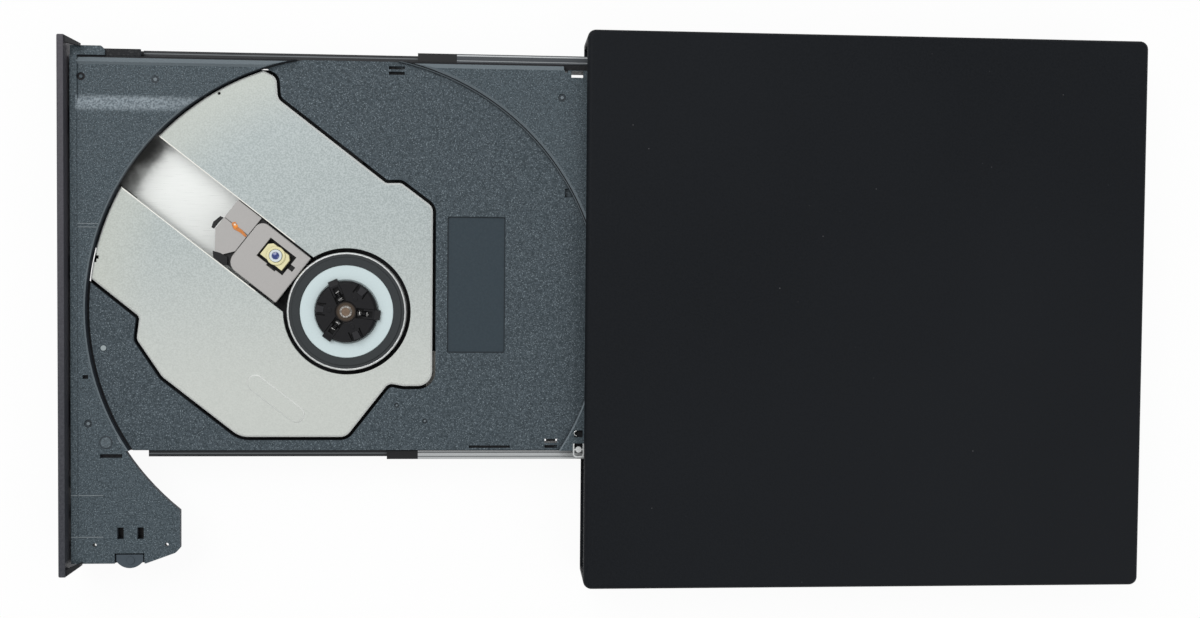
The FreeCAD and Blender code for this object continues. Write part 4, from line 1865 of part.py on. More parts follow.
def stator():
    """The motor's toothed core with its coils."""
    z = (CUP_BOTTOM - STATOR_DROP, CUP_BOTTOM - STATOR_DROP + STATOR_HEIGHT)
    hub = SLEEVE_RADIUS + STATOR_CORE_WALL
    core = ring(hub, SLEEVE_RADIUS + SPINDLE_FIT, (z[0] - STATOR_DROP, z[1]))
    shoe_root = STATOR_RADIUS - STATOR_SHOE_DEPTH
    coil_x = (hub + STATOR_COIL_GAP, shoe_root - STATOR_COIL_GAP)
    teeth = []
    for index in range(STATOR_TEETH):
        arm = box((hub - OVERLAP, shoe_root + OVERLAP), around(0.0, STATOR_TOOTH_WIDTH), z)
        coil = box(coil_x, around(0.0, STATOR_COIL_WIDTH), z)
        sector = box((0, STATOR_RADIUS), around(0.0, STATOR_SHOE_WIDTH), z)
        shoe = ring(STATOR_RADIUS, shoe_root, z).common(sector)
        teeth.append(spun(joined(arm, coil, shoe), index * 360 / STATOR_TEETH))
    return in_tray(joined(core, *teeth))


def turntable():
    """The motor's outer cup, which the disc turns with."""
    rim = SEAT - TURNTABLE_RIM_DROP
    wall = TURNTABLE_RADIUS - TURNTABLE_WALL
    return in_tray(turned([
        (SHAFT_RADIUS, CUP_TOP - TURNTABLE_PLATE),
        (wall, CUP_TOP - TURNTABLE_PLATE),
        (wall, CUP_BOTTOM),
        (TURNTABLE_RADIUS, CUP_BOTTOM),
        (TURNTABLE_RADIUS, rim - SMALL_CHAMFER),
        (TURNTABLE_RADIUS - SMALL_CHAMFER, rim),
        (RUBBER_RING_RADIUS, rim),
        (RUBBER_RING_RADIUS, CUP_TOP),
        (SHAFT_RADIUS, CUP_TOP),
    ]))


def rubber_ring():
    """The ring that grips the disc."""
    return in_tray(turned([
        (PALE_RING_RADIUS, CUP_TOP),
        (RUBBER_RING_RADIUS, CUP_TOP),
        (RUBBER_RING_RADIUS, SEAT - SMALL_CHAMFER),
        (RUBBER_RING_RADIUS - SMALL_CHAMFER, SEAT),
        (PALE_RING_RADIUS + SMALL_CHAMFER, SEAT),
        (PALE_RING_RADIUS, SEAT - SMALL_CHAMFER),
    ]))


def turntable_ring():
    """The pale plastic ring inside the rubber one."""
    top = SEAT - PALE_RING_DROP
    return in_tray(turned([
        (HUB_RADIUS, CUP_TOP),
        (PALE_RING_RADIUS, CUP_TOP),
        (PALE_RING_RADIUS, top - SMALL_CHAMFER),
        (PALE_RING_RADIUS - SMALL_CHAMFER, top),
        (HUB_RADIUS + PALE_RING_DISH, top),
        (HUB_RADIUS, top - PALE_RING_DISH),
    ]))


def centring_hub():
    """The hub that centres the disc, slotted for its lugs and notched for its claws."""
    dish = HUB_TOP - HUB_DISH_DEPTH
    hub = turned([
        (SHAFT_RADIUS, CUP_TOP),
        (HUB_RADIUS, CUP_TOP),
        (HUB_RADIUS, HUB_TOP - HUB_CHAMFER),
        (HUB_RADIUS - HUB_CHAMFER, HUB_TOP),
        (HUB_DISH_RADIUS, HUB_TOP),
        (HUB_DISH_RADIUS - HUB_DISH_DEPTH, dish),
        (SHAFT_RADIUS, dish),
    ])
    above = HUB_TOP + PAST
    outside = HUB_RADIUS + PAST
    lug_slot = around(0.0, LUG_WIDTH + 2 * LUG_CLEARANCE)
    cuts = []
    pins = []
    for angle in LUG_ANGLES:
        slot = box((LUG_SLOT_START, outside), lug_slot, (CUP_TOP + LUG_FLOOR, above))
        cuts.append(spun(slot, angle))
        claw = angle + 180 / LUG_COUNT
        step_x = (HUB_RADIUS - CLAW_LENGTH, outside)
        cuts.append(spun(box(step_x, around(0.0, CLAW_WIDTH), (HUB_TOP - CLAW_DEPTH, above)), claw))
        slit_x = (HUB_RADIUS - CLAW_SLIT_LENGTH, outside)
        for offset in (-CLAW_SLIT_SIDE, CLAW_SLIT_SIDE):
            slit = box(slit_x, around(offset, CLAW_SLIT), (HUB_TOP - CLAW_SLIT_DEPTH, above))
            cuts.append(spun(slit, claw))
        pin_z = (HUB_TOP - HUB_PIN_ROOT, HUB_TOP + HUB_PIN_RISE)
        pins.append(spun(disc(HUB_PIN_RADIUS, pin_z, (HUB_PIN_PLACE, 0)), claw))
    return in_tray(joined(without(hub, *cuts), *pins))


def hub_lug(angle):
    """One sprung lug, with the pocket its spring sits in."""
    profile = [
        (LUG_ROOT, LUG_BOTTOM),
        (LUG_REACH - LUG_FOOT, LUG_BOTTOM),
        (LUG_REACH, LUG_BOTTOM + LUG_TIP_RISE),
        (LUG_REACH - LUG_TIP_DROP, LUG_BOTTOM + 2 * LUG_TIP_RISE),
        (LUG_REACH - LUG_LEAN, LUG_TOP),
        (LUG_ROOT, LUG_TOP),
    ]
    block = wedge(profile, -LUG_WIDTH / 2, LUG_WIDTH / 2, along="y")
    pocket = box(
        (LUG_ROOT - PAST, SPRING_END + LUG_TRAVEL + SPRING_END_GAP),
        around(0.0, 2 * (SPRING_RADIUS + LUG_POCKET_GAP)),
        (LUG_BOTTOM + LUG_POCKET_FLOOR, LUG_TOP + PAST),
    )
    return in_tray(spun(block.cut(pocket), angle))


def hub_lug_a():
    """The first lug."""
    return hub_lug(LUG_ANGLES[0])


def hub_lug_b():
    """The second lug."""
    return hub_lug(LUG_ANGLES[1])


def hub_lug_c():
    """The third lug."""
    return hub_lug(LUG_ANGLES[2])


def hub_lug_springs():
    """The small coil spring behind each lug."""
    middle = LUG_BOTTOM + LUG_POCKET_FLOOR + SPRING_RADIUS + SPRING_WIRE
    length = SPRING_END - SPRING_START - 2 * SPRING_WIRE
    springs = []
    for angle in LUG_ANGLES:
        helix = Part.makeHelix(length / SPRING_TURNS, length, SPRING_RADIUS)
        centre = FreeCAD.Vector(SPRING_RADIUS, 0, 0)
        section = Part.Wire(Part.makeCircle(SPRING_WIRE, centre, FreeCAD.Vector(0, 1, 0)))
        coil = Part.Wire(helix.Edges).makePipeShell([section], True, True)
        coil.rotate(FreeCAD.Vector(0, 0, 0), FreeCAD.Vector(0, 1, 0), 90)
        coil.translate(FreeCAD.Vector(SPRING_START + SPRING_WIRE, 0, middle))
        springs.append(in_tray(spun(coil, angle)))
    return group(springs)


def spindle_shaft():
    """The motor's shaft, up through the hub, with a shallow dimple in its end."""
    low = FRAME_BOTTOM + SLEEVE_RISE + SLEEVE_FLOOR + SHAFT_END_GAP
    top = HUB_TOP + SHAFT_RISE
    dimple = SHAFT_RADIUS - SHAFT_CHAMFER - SHAFT_LAND
    return in_tray(turned([
        (0, low),
        (SHAFT_RADIUS, low),
        (SHAFT_RADIUS, top - SHAFT_CHAMFER),
        (SHAFT_RADIUS - SHAFT_CHAMFER, top),
        (dimple, top),
        (dimple - SHAFT_DIMPLE, top - SHAFT_DIMPLE),
        (0, top - SHAFT_DIMPLE),
    ]))


def pickup_carriage():
    """The pickup's cast body, with its sleeve, fork and screw nut."""
    low, high = COVER_SIDES
    corners = [
        (CARRIAGE_FRONT, low),
        (CARRIAGE_REAR, low - END_LOW_DROP),
        (CARRIAGE_REAR, END_MIDDLE_SIDE),
        (CARRIAGE_REAR - END_CHAMFER, END_HIGH_SIDE),
        (COVER_REAR, high),
        (CARRIAGE_FRONT, high),
    ]
    block = slab(corners, (FRAME_FLOOR + CARRIAGE_GAP, CARRIAGE_TOP))
    arm_z = around(ROD_Z, 2 * ARM_HALF_HEIGHT)
    outside = MAIN_ROD_SIDE - SLEEVE_WALL
    sleeve_x = (PICKUP_START - SLEEVE_AHEAD, PICKUP_START + SLEEVE_BEHIND)
    fork_x = (PICKUP_START - FORK_AHEAD, PICKUP_START + FORK_BEHIND)
    nut_x = (PICKUP_START - NUT_AHEAD, PICKUP_START + NUT_BEHIND)
    nut_y = (SCREW_SIDE - NUT_WALL, outside + OVERLAP)
    arms = [
        box(sleeve_x, (outside, low + OVERLAP), arm_z),
        box(fork_x, (high - OVERLAP, SIDE_ROD_SIDE + FORK_REACH), arm_z),
        box(nut_x, nut_y, (arm_z[0], SCREW_Z + ARM_HALF_HEIGHT)),
    ]
    fit = ROD_RADIUS + ROD_FIT
    fork_slot_y = (SIDE_ROD_SIDE - ROD_RADIUS - FORK_ROOM, SIDE_ROD_SIDE + BEYOND)
    cuts = [
        bar(fit, (0, MAIN_ROD_SIDE, ROD_Z), (ROD_END, MAIN_ROD_SIDE, ROD_Z)),
        bar(fit, (0, SCREW_SIDE, SCREW_Z), (ROD_END, SCREW_SIDE, SCREW_Z)),
        box((0, ROD_END), fork_slot_y, around(ROD_Z, 2 * fit)),
        box(WINDOW_X, WINDOW_Y, (HOLDER_BOTTOM - LENS_TRAVEL - LENS_ROOM, DECK)),
    ]
    return in_feed(without(joined(block, *arms), *cuts))


def pickup_cover():
    """The grey sheet cover round the lens."""
    low, high = COVER_SIDES
    corners = [
        (CARRIAGE_FRONT, low, COVER_SMALL_RADIUS),
        (COVER_REAR, low, COVER_LOW_RADIUS),
        (COVER_REAR, high, COVER_HIGH_RADIUS),
        (CARRIAGE_FRONT, high, COVER_SMALL_RADIUS),
    ]
    cover = slab(corners, (CARRIAGE_TOP, PICKUP_TOP))
    cover = cover.makeChamfer(COVER_BEVEL, upper_edges(cover, PICKUP_TOP))
    through = (CARRIAGE_TOP - PAST, PICKUP_TOP + PAST)
    notch_x = (WINDOW_X[0] + LENS_TAB_X[0], WINDOW_X[0] + LENS_TAB_X[1])
    cuts = [
        box(WINDOW_X, WINDOW_Y, through),
        box((WINDOW_X[0] - LENS_CLIP_LENGTH, WINDOW_X[0] + OVERLAP), LENS_CLIP_SIDES, through),
        box(notch_x, (WINDOW_Y[1] - OVERLAP, WINDOW_Y[1] + LENS_TAB_WIDTH), through),
    ]
    return in_feed(without(cover, *cuts))


def pickup_end_plate():
    """The two small plates over the pickup's outer end."""
    start = COVER_REAR + END_GAP
    low = COVER_SIDES[0] - END_LOW_DROP
    top = PICKUP_TOP - END_PLATE_DROP
    corners = [
        (start, low),
        (CARRIAGE_REAR, low),
        (CARRIAGE_REAR, END_MIDDLE_SIDE),
        (CARRIAGE_REAR - END_CHAMFER, END_HIGH_SIDE),
        (COVER_REAR + END_SHOULDER, END_HIGH_SIDE),
        (start, END_NECK_SIDE),
    ]
    seam_y = (SEAM_PLACE, SEAM_PLACE + SEAM_WIDTH)
    seam = box((COVER_REAR, CARRIAGE_REAR + PAST), seam_y, (top - SEAM_DEPTH, DECK))
    return in_feed(slab(corners, (CARRIAGE_TOP, top)).cut(seam))


def pickup_flex():
    """The copper tongue of the pickup's flexible circuit."""
    low = PICKUP_TOP - END_PLATE_DROP
    corners = [(COVER_REAR + corner[0], *corner[1:]) for corner in FLEX_CORNERS]
    return in_feed(slab(corners, (low, low + FLEX_THICKNESS)))


def lens_holder():
    """The moving holder of the lens."""
    x = around(PICKUP_START, HOLDER_LENGTH)
    y = around(0.0, HOLDER_WIDTH)
    corners = [
        (x[0] + HOLDER_CHAMFER, y[0]),
        (x[1] - HOLDER_CHAMFER, y[0]),
        (x[1], y[0] + HOLDER_CHAMFER),
        (x[1], y[1]),
        (x[0], y[1]),
        (x[0], y[0] + HOLDER_CHAMFER),
    ]
    middle = (PICKUP_START, 0)
    body = slab(corners, (HOLDER_BOTTOM, HOLDER_TOP))
    collar_z = (HOLDER_TOP - LENS_COLLAR_RISE, HOLDER_TOP + LENS_COLLAR_RISE)
    collar = disc(LENS_RADIUS + LENS_COLLAR, collar_z, middle)
    return in_feed(joined(body, collar).cut(disc(LENS_RADIUS, (HOLDER_TOP - LENS_SEAT, DECK), middle)))


def objective_lens():
    """The small domed lens."""
    low = HOLDER_TOP - LENS_SEAT
    sink = math.sqrt(LENS_CURVE_RADIUS ** 2 - LENS_RADIUS ** 2)
    centre = FreeCAD.Vector(PICKUP_START, 0, low + LENS_EDGE - sink)
    body = disc(LENS_RADIUS, (low, low + LENS_CURVE_RADIUS), (PICKUP_START, 0))
    return in_feed(body.common(Part.makeSphere(LENS_CURVE_RADIUS, centre)))


NODES = [
    top_cover, bottom_cover, rubber_feet, case_screws, drive_screws,
    drive_chassis, chassis_lid, left_guide, right_guide,
    left_channel, right_channel, left_channel_cap, right_channel_cap, left_runner, right_runner,
    main_board, board_components, ribbon_cable, latch_post,
    bridge_board, bridge_connector, usb_socket, power_socket,
    tray, bezel, eject_button, eject_switch, panel_board, activity_light,
    latch_lever, latch_solenoid, tray_pin, tray_clip, tray_ribbon,
    traverse_cover, traverse_frame, bottom_shield, main_guide_rod, side_guide_rod, feed_motor, lead_screw,
    mount_dampers, damper_screws,
    spindle_base, stator, turntable, rubber_ring, turntable_ring,
    centring_hub, hub_lug_a, hub_lug_b, hub_lug_c, hub_lug_springs, spindle_shaft,
    pickup_carriage, pickup_cover, pickup_end_plate, pickup_flex, lens_holder, objective_lens,
]


def main():
    """Write one file per node."""
    os.makedirs("parts", exist_ok=True)
    for node in NODES:
        shape = node()
        if not shape.isValid():
            print("not valid:", node.__name__)
        shape.exportStep(f"parts/{node.__name__}.step")
        print(f"{node.__name__}: {len(shape.Solids)} solid, {shape.Volume:.1f} mm3")


if __name__ == "__main__":
    main()
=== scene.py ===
"""Looks of an external slim disc drive with its tray out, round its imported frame.

The scene is in metres. Sizes below are in mm unless a comment says metres, and a place seen from
above is measured from the disc's axis.
"""
import json
import math

import bmesh
import bpy
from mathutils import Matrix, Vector


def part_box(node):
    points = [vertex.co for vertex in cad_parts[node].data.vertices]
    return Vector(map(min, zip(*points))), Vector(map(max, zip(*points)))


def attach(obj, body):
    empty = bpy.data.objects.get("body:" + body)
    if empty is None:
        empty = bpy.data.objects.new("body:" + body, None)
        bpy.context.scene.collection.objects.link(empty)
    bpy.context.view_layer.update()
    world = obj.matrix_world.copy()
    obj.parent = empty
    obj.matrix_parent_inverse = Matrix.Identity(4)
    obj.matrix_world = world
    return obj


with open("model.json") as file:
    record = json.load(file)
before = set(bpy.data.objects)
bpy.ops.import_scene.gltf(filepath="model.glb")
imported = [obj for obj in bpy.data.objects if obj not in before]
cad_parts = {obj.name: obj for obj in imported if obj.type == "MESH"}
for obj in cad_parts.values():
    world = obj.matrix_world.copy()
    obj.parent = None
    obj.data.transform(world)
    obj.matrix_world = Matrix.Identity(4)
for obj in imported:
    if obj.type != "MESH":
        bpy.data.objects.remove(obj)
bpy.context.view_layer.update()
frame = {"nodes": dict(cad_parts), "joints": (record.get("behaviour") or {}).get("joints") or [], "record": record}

MM = 0.001
UP = Vector((0, 0, 1))

# Camera: a close view from above, its place and nearest distance in metres, its turn in degrees
CAMERA_PLACE = (-26.31 * MM, 10.72 * MM, 336.88 * MM)
CAMERA_TURN = (-1.855, -4.088, 0.514)
CAMERA_NEAR = 0.01
FOCAL_PIXELS = 1332.4
IMAGE_WIDTH = 1200
SENSOR = 36.0

# Studio, in metres: each lamp's name, place, width and power
LAMPS = (
    ("key", (-0.35, 0.45, 0.75), 0.6, 4.2),
    ("fill", (0.5, -0.35, 0.8), 0.8, 2.2),
)
FLOOR_RADIUS = 3.0
FLOOR_DROP = 0.0002
FLOOR_GLOW = 0.94
WORLD_LIGHT = 0.5

# What the pieces share: places in metres, the feed's direction, and the turn of the brush lines along it
SPINDLE = (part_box("turntable")[0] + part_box("turntable")[1]) / 2
LENS = (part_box("objective_lens")[0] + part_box("objective_lens")[1]) / 2
FEED = next(Vector(joint["axis"]) for joint in frame["joints"] if joint["name"] == "pickup_feed")
BRUSH_TURN = -math.radians(38)

# The tray's levels
DECK = 12.7
FLOOR_BELOW = DECK - 0.6
RIDGES = (DECK + 0.03, DECK + 0.12)
POCKET_BELOW = DECK - 0.55
DEEP_BELOW = DECK - 2.2
EDGE_ABOVE = DECK - 0.1

# The tray in plan: radii, among them those of the painted groove shade and edge highlight, the flat panel and its
# field, and the sloping band's painted highlight
REACH = 61.2
GROOVE_RADII = (60.2, 61.7)
EDGE_RADII = (61.45, 61.85)
RIGHT_FADE = (-10, 20)
PANEL = ((24.1, 38.1), (-9.9, 23.2))
PANEL_FIELD = ((24.4, 37.8), (-9.6, 22.9))
SLOPE = ((-63.4, -25.0), (46.9, 51.4))
SLOPE_EDGE = 1.3
SLOPE_FADE = 24

# Round marks on the tray, each a painted shadow ring about a painted highlight: place, the core's radius, the
# ring's radius and the core highlight's strength
MARKS = (
    (51.6, 52.2, 0.4, 0.95, 0.4),
    (-45.1, 54.9, 0.4, 0.95, 0.4),
    (-60.7, -27.1, 0.4, 0.95, 0.4),
    (12.0, -22.8, 0.25, 0.6, 0.4),
    (18.8, -26.6, 0.25, 0.6, 0.4),
    (-56.6, -31.6, 1.25, 1.65, 0.12),
)

# The cover plate with its painted light gradient and painted highlights, and the sheet below its slot with its
# painted shadow, where lengths along the slot start at the axis
PLATE_LIGHT_FADE = (-25, 30)
CREAM_RADII = (45, 61)
SLOT_EDGE_HIGHLIGHTS = ((5.3, 5.55), (-9.85, -9.6))
SLOT_START = 20
SHADE_ALONG = (60, 67)
SHADE_BLOTS = 8

# The bezel with its painted light and shade, the tray's clip with the painted shade in its fold, and radii where
# the tone changes round the shaft and in the lens, the spring's painted highlights among them
BEZEL_LIGHT_FADE = (-60, 60)
BEZEL_BACK = -65.35
FOLD_LEVELS = (11.9, 12.5)
GREASE_RADII = (1.6, 2.6)
CORE_RADIUS = 1.0
GLINT_RADII = ((3.0, 3.6), (5.0, 5.4))
GLASS_RIM = (0.75, 0.95)

# Ring profiles: inner and outer radius, bottom, top and the rounding of the upper edges
LENS_RING = (0.92, 1.5, 10.9, 11.46, 0.06)
LENS_SEAT = (1.6, 2.25, 10.9, 11.2, 0.08)
CUP_RIM = (13.7, 14.3, 10.9, 11.96, 0.2)

# Solder on the pickup's flexible circuit: a place, and a profile of radii and levels
SOLDER_PLACE = (-26.6, 20.3)
SOLDER_PROFILE = ((0.0, 10.55), (0.0, 10.84), (0.3, 10.8), (0.5, 10.7), (0.58, 10.55))
BEAD_PLACE = (-26.75, 20.7)
BEAD_PROFILE = ((0.0, 10.7), (0.0, 10.92), (0.16, 10.89), (0.27, 10.8), (0.3, 10.7))

# Black pieces as painted shade in the dark openings of the pickup's end plate, and the joint in the strip left of
# the tray
NOTCH = (
    (-32.34, 19.99), (-31.89, 21.36), (-30.22, 22.72),
    (-29.46, 22.35), (-30.67, 21.06), (-31.74, 19.69),
)
POCKET = (
    (-32.04, 14.38), (-30.37, 13.93), (-28.55, 13.02),
    (-28.55, 10.89), (-29.61, 10.89), (-31.89, 12.56),
)
END_PLATE_LEVELS = (10.4, 10.66)
STRIP_JOINT = ((-49.4, 60.7), (-47.6, 60.7), (-47.6, 61.9), (-49.4, 61.9))
STRIP_JOINT_LEVELS = (6.2, 9.5)

# The hub's plain claws: where they stand in degrees, and each corner's reach and side
CLAW_ANGLES = (52, 174, 294)
CLAW_PLAN = ((5.2, -0.75), (7.1, -0.95), (7.1, 0.95), (5.2, 0.75))
CLAW_LEVELS = (13.6, 14.05)
CLAW_EDGE = 0.15

# The bent wire beside the clip: half a turn, from a quarter turn on
HOOK_PLACE = (55.8, -29.4)
HOOK_RADIUS = 0.6
HOOK_LEVEL = 12.6
HOOK_SWEEP = math.pi
HOOK_START = math.pi / 2
WIRE_RADIUS = 0.13
WIRE_SIDES = 12

# How finely round pieces are cut, the softened edge of flat ones, and the merging distance
TURN_STEPS = 48
SOFT_EDGE = 0.06
MERGE = 0.0002

# Moulded materials: tone, roughness, then the grain's size, its depth and the unevenness
MOULDED = {
    "rubber": ((52, 56, 58), 0.75, 0.3, 0.02, 0.2),
    "guide_plastic": ((34, 35, 38), 0.45),
    "black_plastic": ((22, 23, 25), 0.4),
    "chip_black": ((30, 30, 32), 0.5),
    "ribbon": ((206, 204, 198), 0.4, 0.6, 0.01, 0.05),
    "socket_black": ((26, 26, 28), 0.4),
    "latch_plastic": ((66, 76, 84), 0.45),
    "pale_plastic": ((205, 220, 222), 0.35, 0.4, 0.006, 0.05),
    "pin_plastic": ((150, 160, 163), 0.4),
    "frame_plastic": ((32, 33, 36), 0.5),
    "cup_rubber": ((50, 54, 56), 0.6, 0.3, 0.01),
    "claw_plastic": ((40, 40, 43), 0.3, 0.4, 0.01),
    "carriage_metal": ((34, 34, 35), 0.45, 0.3, 0.02),
    "pickup_metal": ((175, 173, 171), 0.4, 0.35, 0.01, 0.06),
    "lens_holder_plastic": ((226, 220, 176), 0.4, 0.3, 0.008, 0.05),
    "lens_ring_plastic": ((214, 222, 224), 0.35, 0.2, 0.004, 0.04),
    "solder_orange": ((244, 150, 60), 0.3, 0.2, 0.02, 0.1),
    "solder_pale": ((246, 226, 204), 0.25, 0.2, 0.01, 0.05),
}

# Brushed metals: tone, roughness and the turn of the brush lines
BRUSHED = {
    "chassis_steel": ((206, 206, 204), 0.22, BRUSH_TURN),
    "socket_steel": ((190, 190, 192), 0.25),
}

# Polished metals: tone and roughness
POLISHED = {
    "screw_steel": ((170, 170, 172), 0.25),
    "polished_steel": ((196, 196, 194), 0.12),
    "copper": ((196, 128, 78), 0.3),
    "cup_rim_steel": ((236, 238, 238), 0.3),
    "hook_steel": ((226, 228, 228), 0.25),
}

# Strips beside the tray: tone, roughness, metallic share, and lines with their two sides and tone, the lighter
# lines painted highlights and the darker ones painted shade
STRIPED = {
    "left_strip": ((74, 78, 82), 0.4, 0.3, (
        (60.9, 61.1, (150, 154, 157)),
        (62.1, 62.4, (188, 191, 193)),
    )),
    "right_strip": ((186, 189, 190), 0.4, 0.3, (
        (-34.5, -34.2, (96, 98, 100)),
        (-35.5, -35.25, (110, 112, 114)),
    )),
    "left_runner_plastic": ((40, 42, 45), 0.45, 0.0, (
        (61.2, 61.45, (112, 116, 119)),
    )),
    "right_runner_plastic": ((40, 42, 45), 0.45, 0.0, (
        (-34.75, -34.5, (104, 108, 111)),
    )),
}

# Nodes whose finish isn't the one that is named after their slot
NODE_LOOKS = {
    "bottom_shield": "slot_floor",
    "hub_lug_springs": "lug_spring",
    "spindle_shaft": "shaft_steel",
    "tray_clip": "clip_metal",
    "turntable": "cup_rubber",
    "tray_pin": "pin_plastic",
    "left_channel": "left_strip",
    "right_channel": "right_strip",
    "left_runner": "left_runner_plastic",
    "right_runner": "right_runner_plastic",
}


def from_axis(x, y):
    """A place in metres from its distances to the disc's axis."""
    return Vector((SPINDLE.x + x * MM, SPINDLE.y + y * MM, 0))


def colour(red, green, blue):
    """A colour from its 8-bit screen values."""
    def linear(value):
        share = value / 255
        if share <= 0.04045:
            return share / 12.92
        return ((share + 0.055) / 1.055) ** 2.4
    return (linear(red), linear(green), linear(blue), 1.0)


def shaded(base, factor):
    """A colour made darker or lighter."""
    return [min(1.0, value * factor) for value in base[:3]] + [1.0]


class Surface:
    """A material's node tree, built from its shader outwards.

    The plain base colour stands in where the nodes can't be run. The first coat is laid with
    ground, and paint lays further tones over it.
    """

    def __init__(self, name, base, roughness, metallic=0.0):
        self.name = name
        self.material = bpy.data.materials.new(name)
        self.material.use_nodes = True
        self.tree = self.material.node_tree
        self.shader = self.tree.nodes["Principled BSDF"]
        self.shader.inputs["Base Color"].default_value = base
        self.shader.inputs["Roughness"].default_value = roughness
        self.shader.inputs["Metallic"].default_value = metallic
        self.place = self.add("ShaderNodeTexCoord").outputs["Object"]
        self.coat = None
        self.grain = None
        self.normal = None

    def add(self, kind, **settings):
        """A new node with its settings."""
        node = self.tree.nodes.new(kind)
        for key, value in settings.items():
            setattr(node, key, value)
        return node

    def feed(self, socket, source):
        """Gives a socket a link or a plain value."""
        if isinstance(source, bpy.types.NodeSocket):
            self.tree.links.new(source, socket)
        else:
            socket.default_value = source

    def set(self, name, source):
        """Gives one of the shader's sockets a link or a plain value."""
        self.feed(self.shader.inputs[name], source)

    def ground(self, source):
        """Lays the first coat."""
        self.coat = source
        self.set("Base Color", source)

    def paint(self, share, tone, strength=1.0):
        """Lays a tone over the coat where the share is 1."""
        if strength != 1.0:
            share = self.product(share, strength)
        self.ground(self.mix(share, self.coat, tone))

    def noise(self, size, detail=2.0, place=None):
        """Soft noise whose blots are about one size across."""
        node = self.add("ShaderNodeTexNoise")
        self.feed(node.inputs["Vector"], place or self.place)
        self.feed(node.inputs["Scale"], 1 / (size * MM))
        self.feed(node.inputs["Detail"], detail)
        return node.outputs["Fac"]

    def cells(self, size):
        """The distance to scattered points that lie about one size apart."""
        node = self.add("ShaderNodeTexVoronoi")
        self.feed(node.inputs["Vector"], self.place)
        self.feed(node.inputs["Scale"], 1 / (size * MM))
        return node.outputs["Distance"]

    def streaks(self, length, width, turn):
        """Noise drawn out into long streaks, turned about the upright axis."""
        node = self.add("ShaderNodeMapping")
        self.feed(node.inputs["Vector"], self.place)
        node.inputs["Rotation"].default_value = (0, 0, turn)
        across = 1 / (width * MM)
        node.inputs["Scale"].default_value = (1 / (length * MM), across, across)
        return self.noise(1 / MM, 3.0, node.outputs["Vector"])

    def ramp(self, source, low, high, first=0.0, last=1.0):
        """The source's span from low to high, spread between two values."""
        node = self.add("ShaderNodeMapRange", interpolation_type="SMOOTHSTEP")
        self.feed(node.inputs["Value"], source)
        for key, value in (("From Min", low), ("From Max", high), ("To Min", first), ("To Max", last)):
            self.feed(node.inputs[key], value)
        return node.outputs["Result"]

    def mix(self, share, first, second):
        """A blend of two colours."""
        node = self.add("ShaderNodeMix", data_type="RGBA")
        self.feed(node.inputs["Factor"], share)
        self.feed(node.inputs["A"], first)
        self.feed(node.inputs["B"], second)
        return node.outputs["Result"]

    def maths(self, operation, first, second):
        """One sum of two numbers."""
        node = self.add("ShaderNodeMath", operation=operation)
        self.feed(node.inputs[0], first)
        self.feed(node.inputs[1], second)
        return node.outputs["Value"]

    def vector(self, operation, first, second, result="Vector"):
        """One sum of two vectors."""
        node = self.add("ShaderNodeVectorMath", operation=operation)
        self.feed(node.inputs[0], first)
        self.feed(node.inputs[1], second)
        return node.outputs[result]

    def above(self, value, limit):
        """1 above a limit, 0 below it."""
        return self.maths("GREATER_THAN", value, limit)

    def below(self, value, limit):
        """1 below a limit, 0 above it."""
        return self.maths("LESS_THAN", value, limit)

    def band(self, value, low, high):
        """1 between two values, 0 outside them."""
        return self.product(self.above(value, low), self.below(value, high))

    def product(self, *shares):
        """Several shares multiplied."""
        result = shares[0]
        for share in shares[1:]:
            result = self.maths("MULTIPLY", result, share)
        return result

    def without(self, share):
        """What a share leaves of 1."""
        return self.maths("SUBTRACT", 1.0, share)

    def plan(self):
        """The place in mm, from the disc's axis and from the ground."""
        moved = self.vector("SUBTRACT", self.place, (SPINDLE.x, SPINDLE.y, 0))
        return self.vector("DIVIDE", moved, (MM, MM, MM))

    def axis(self, name):
        """One coordinate of the plan."""
        node = self.add("ShaderNodeSeparateXYZ")
        self.feed(node.inputs["Vector"], self.plan())
        return node.outputs[name]

    def along(self, direction):
        """How far the place lies along a level direction."""
        return self.vector("DOT_PRODUCT", self.plan(), direction, "Value")

    def radius(self, x=0.0, y=0.0):
        """The distance from an upright line."""
        flat = self.vector("MULTIPLY", self.plan(), (1, 1, 0))
        return self.vector("DISTANCE", flat, (x, y, 0), "Value")

    def inside(self, x, y):
        """1 in a rectangle seen from above, 0 outside it."""
        return self.product(self.band(self.axis("X"), *x), self.band(self.axis("Y"), *y))

    def facing(self):
        """1 on faces that look up, 0 on upright walls."""
        geometry = self.add("ShaderNodeNewGeometry")
        node = self.add("ShaderNodeSeparateXYZ")
        self.feed(node.inputs["Vector"], geometry.outputs["Normal"])
        return node.outputs["Z"]

    def soften(self, radius):
        """Shades sharp edges as if they were rounded."""
        node = self.add("ShaderNodeBevel", samples=4)
        self.feed(node.inputs["Radius"], radius * MM)
        self.normal = node.outputs["Normal"]
        self.set("Normal", self.normal)

    def bump(self, height, depth, strength=1.0):
        """Raises the surface by up to a depth where the height is 1."""
        node = self.add("ShaderNodeBump")
        self.feed(node.inputs["Strength"], strength)
        self.feed(node.inputs["Distance"], depth * MM)
        self.feed(node.inputs["Height"], height)
        if self.normal:
            self.feed(node.inputs["Normal"], self.normal)
        self.normal = node.outputs["Normal"]
        self.set("Normal", self.normal)


def moulded(name, tone, roughness, size=0.25, depth=0.02, spread=0.12, shine=0.3):
    """Moulded plastic: a fine grain, slightly uneven in colour."""
    base = colour(*tone)
    surface = Surface(name, base, roughness)
    surface.set("Specular IOR Level", shine)
    surface.soften(0.12)
    surface.grain = surface.noise(size, 3.0)
    surface.ground(surface.mix(surface.grain, shaded(base, 1 - spread), shaded(base, 1 + spread)))
    surface.bump(surface.grain, depth)
    return surface


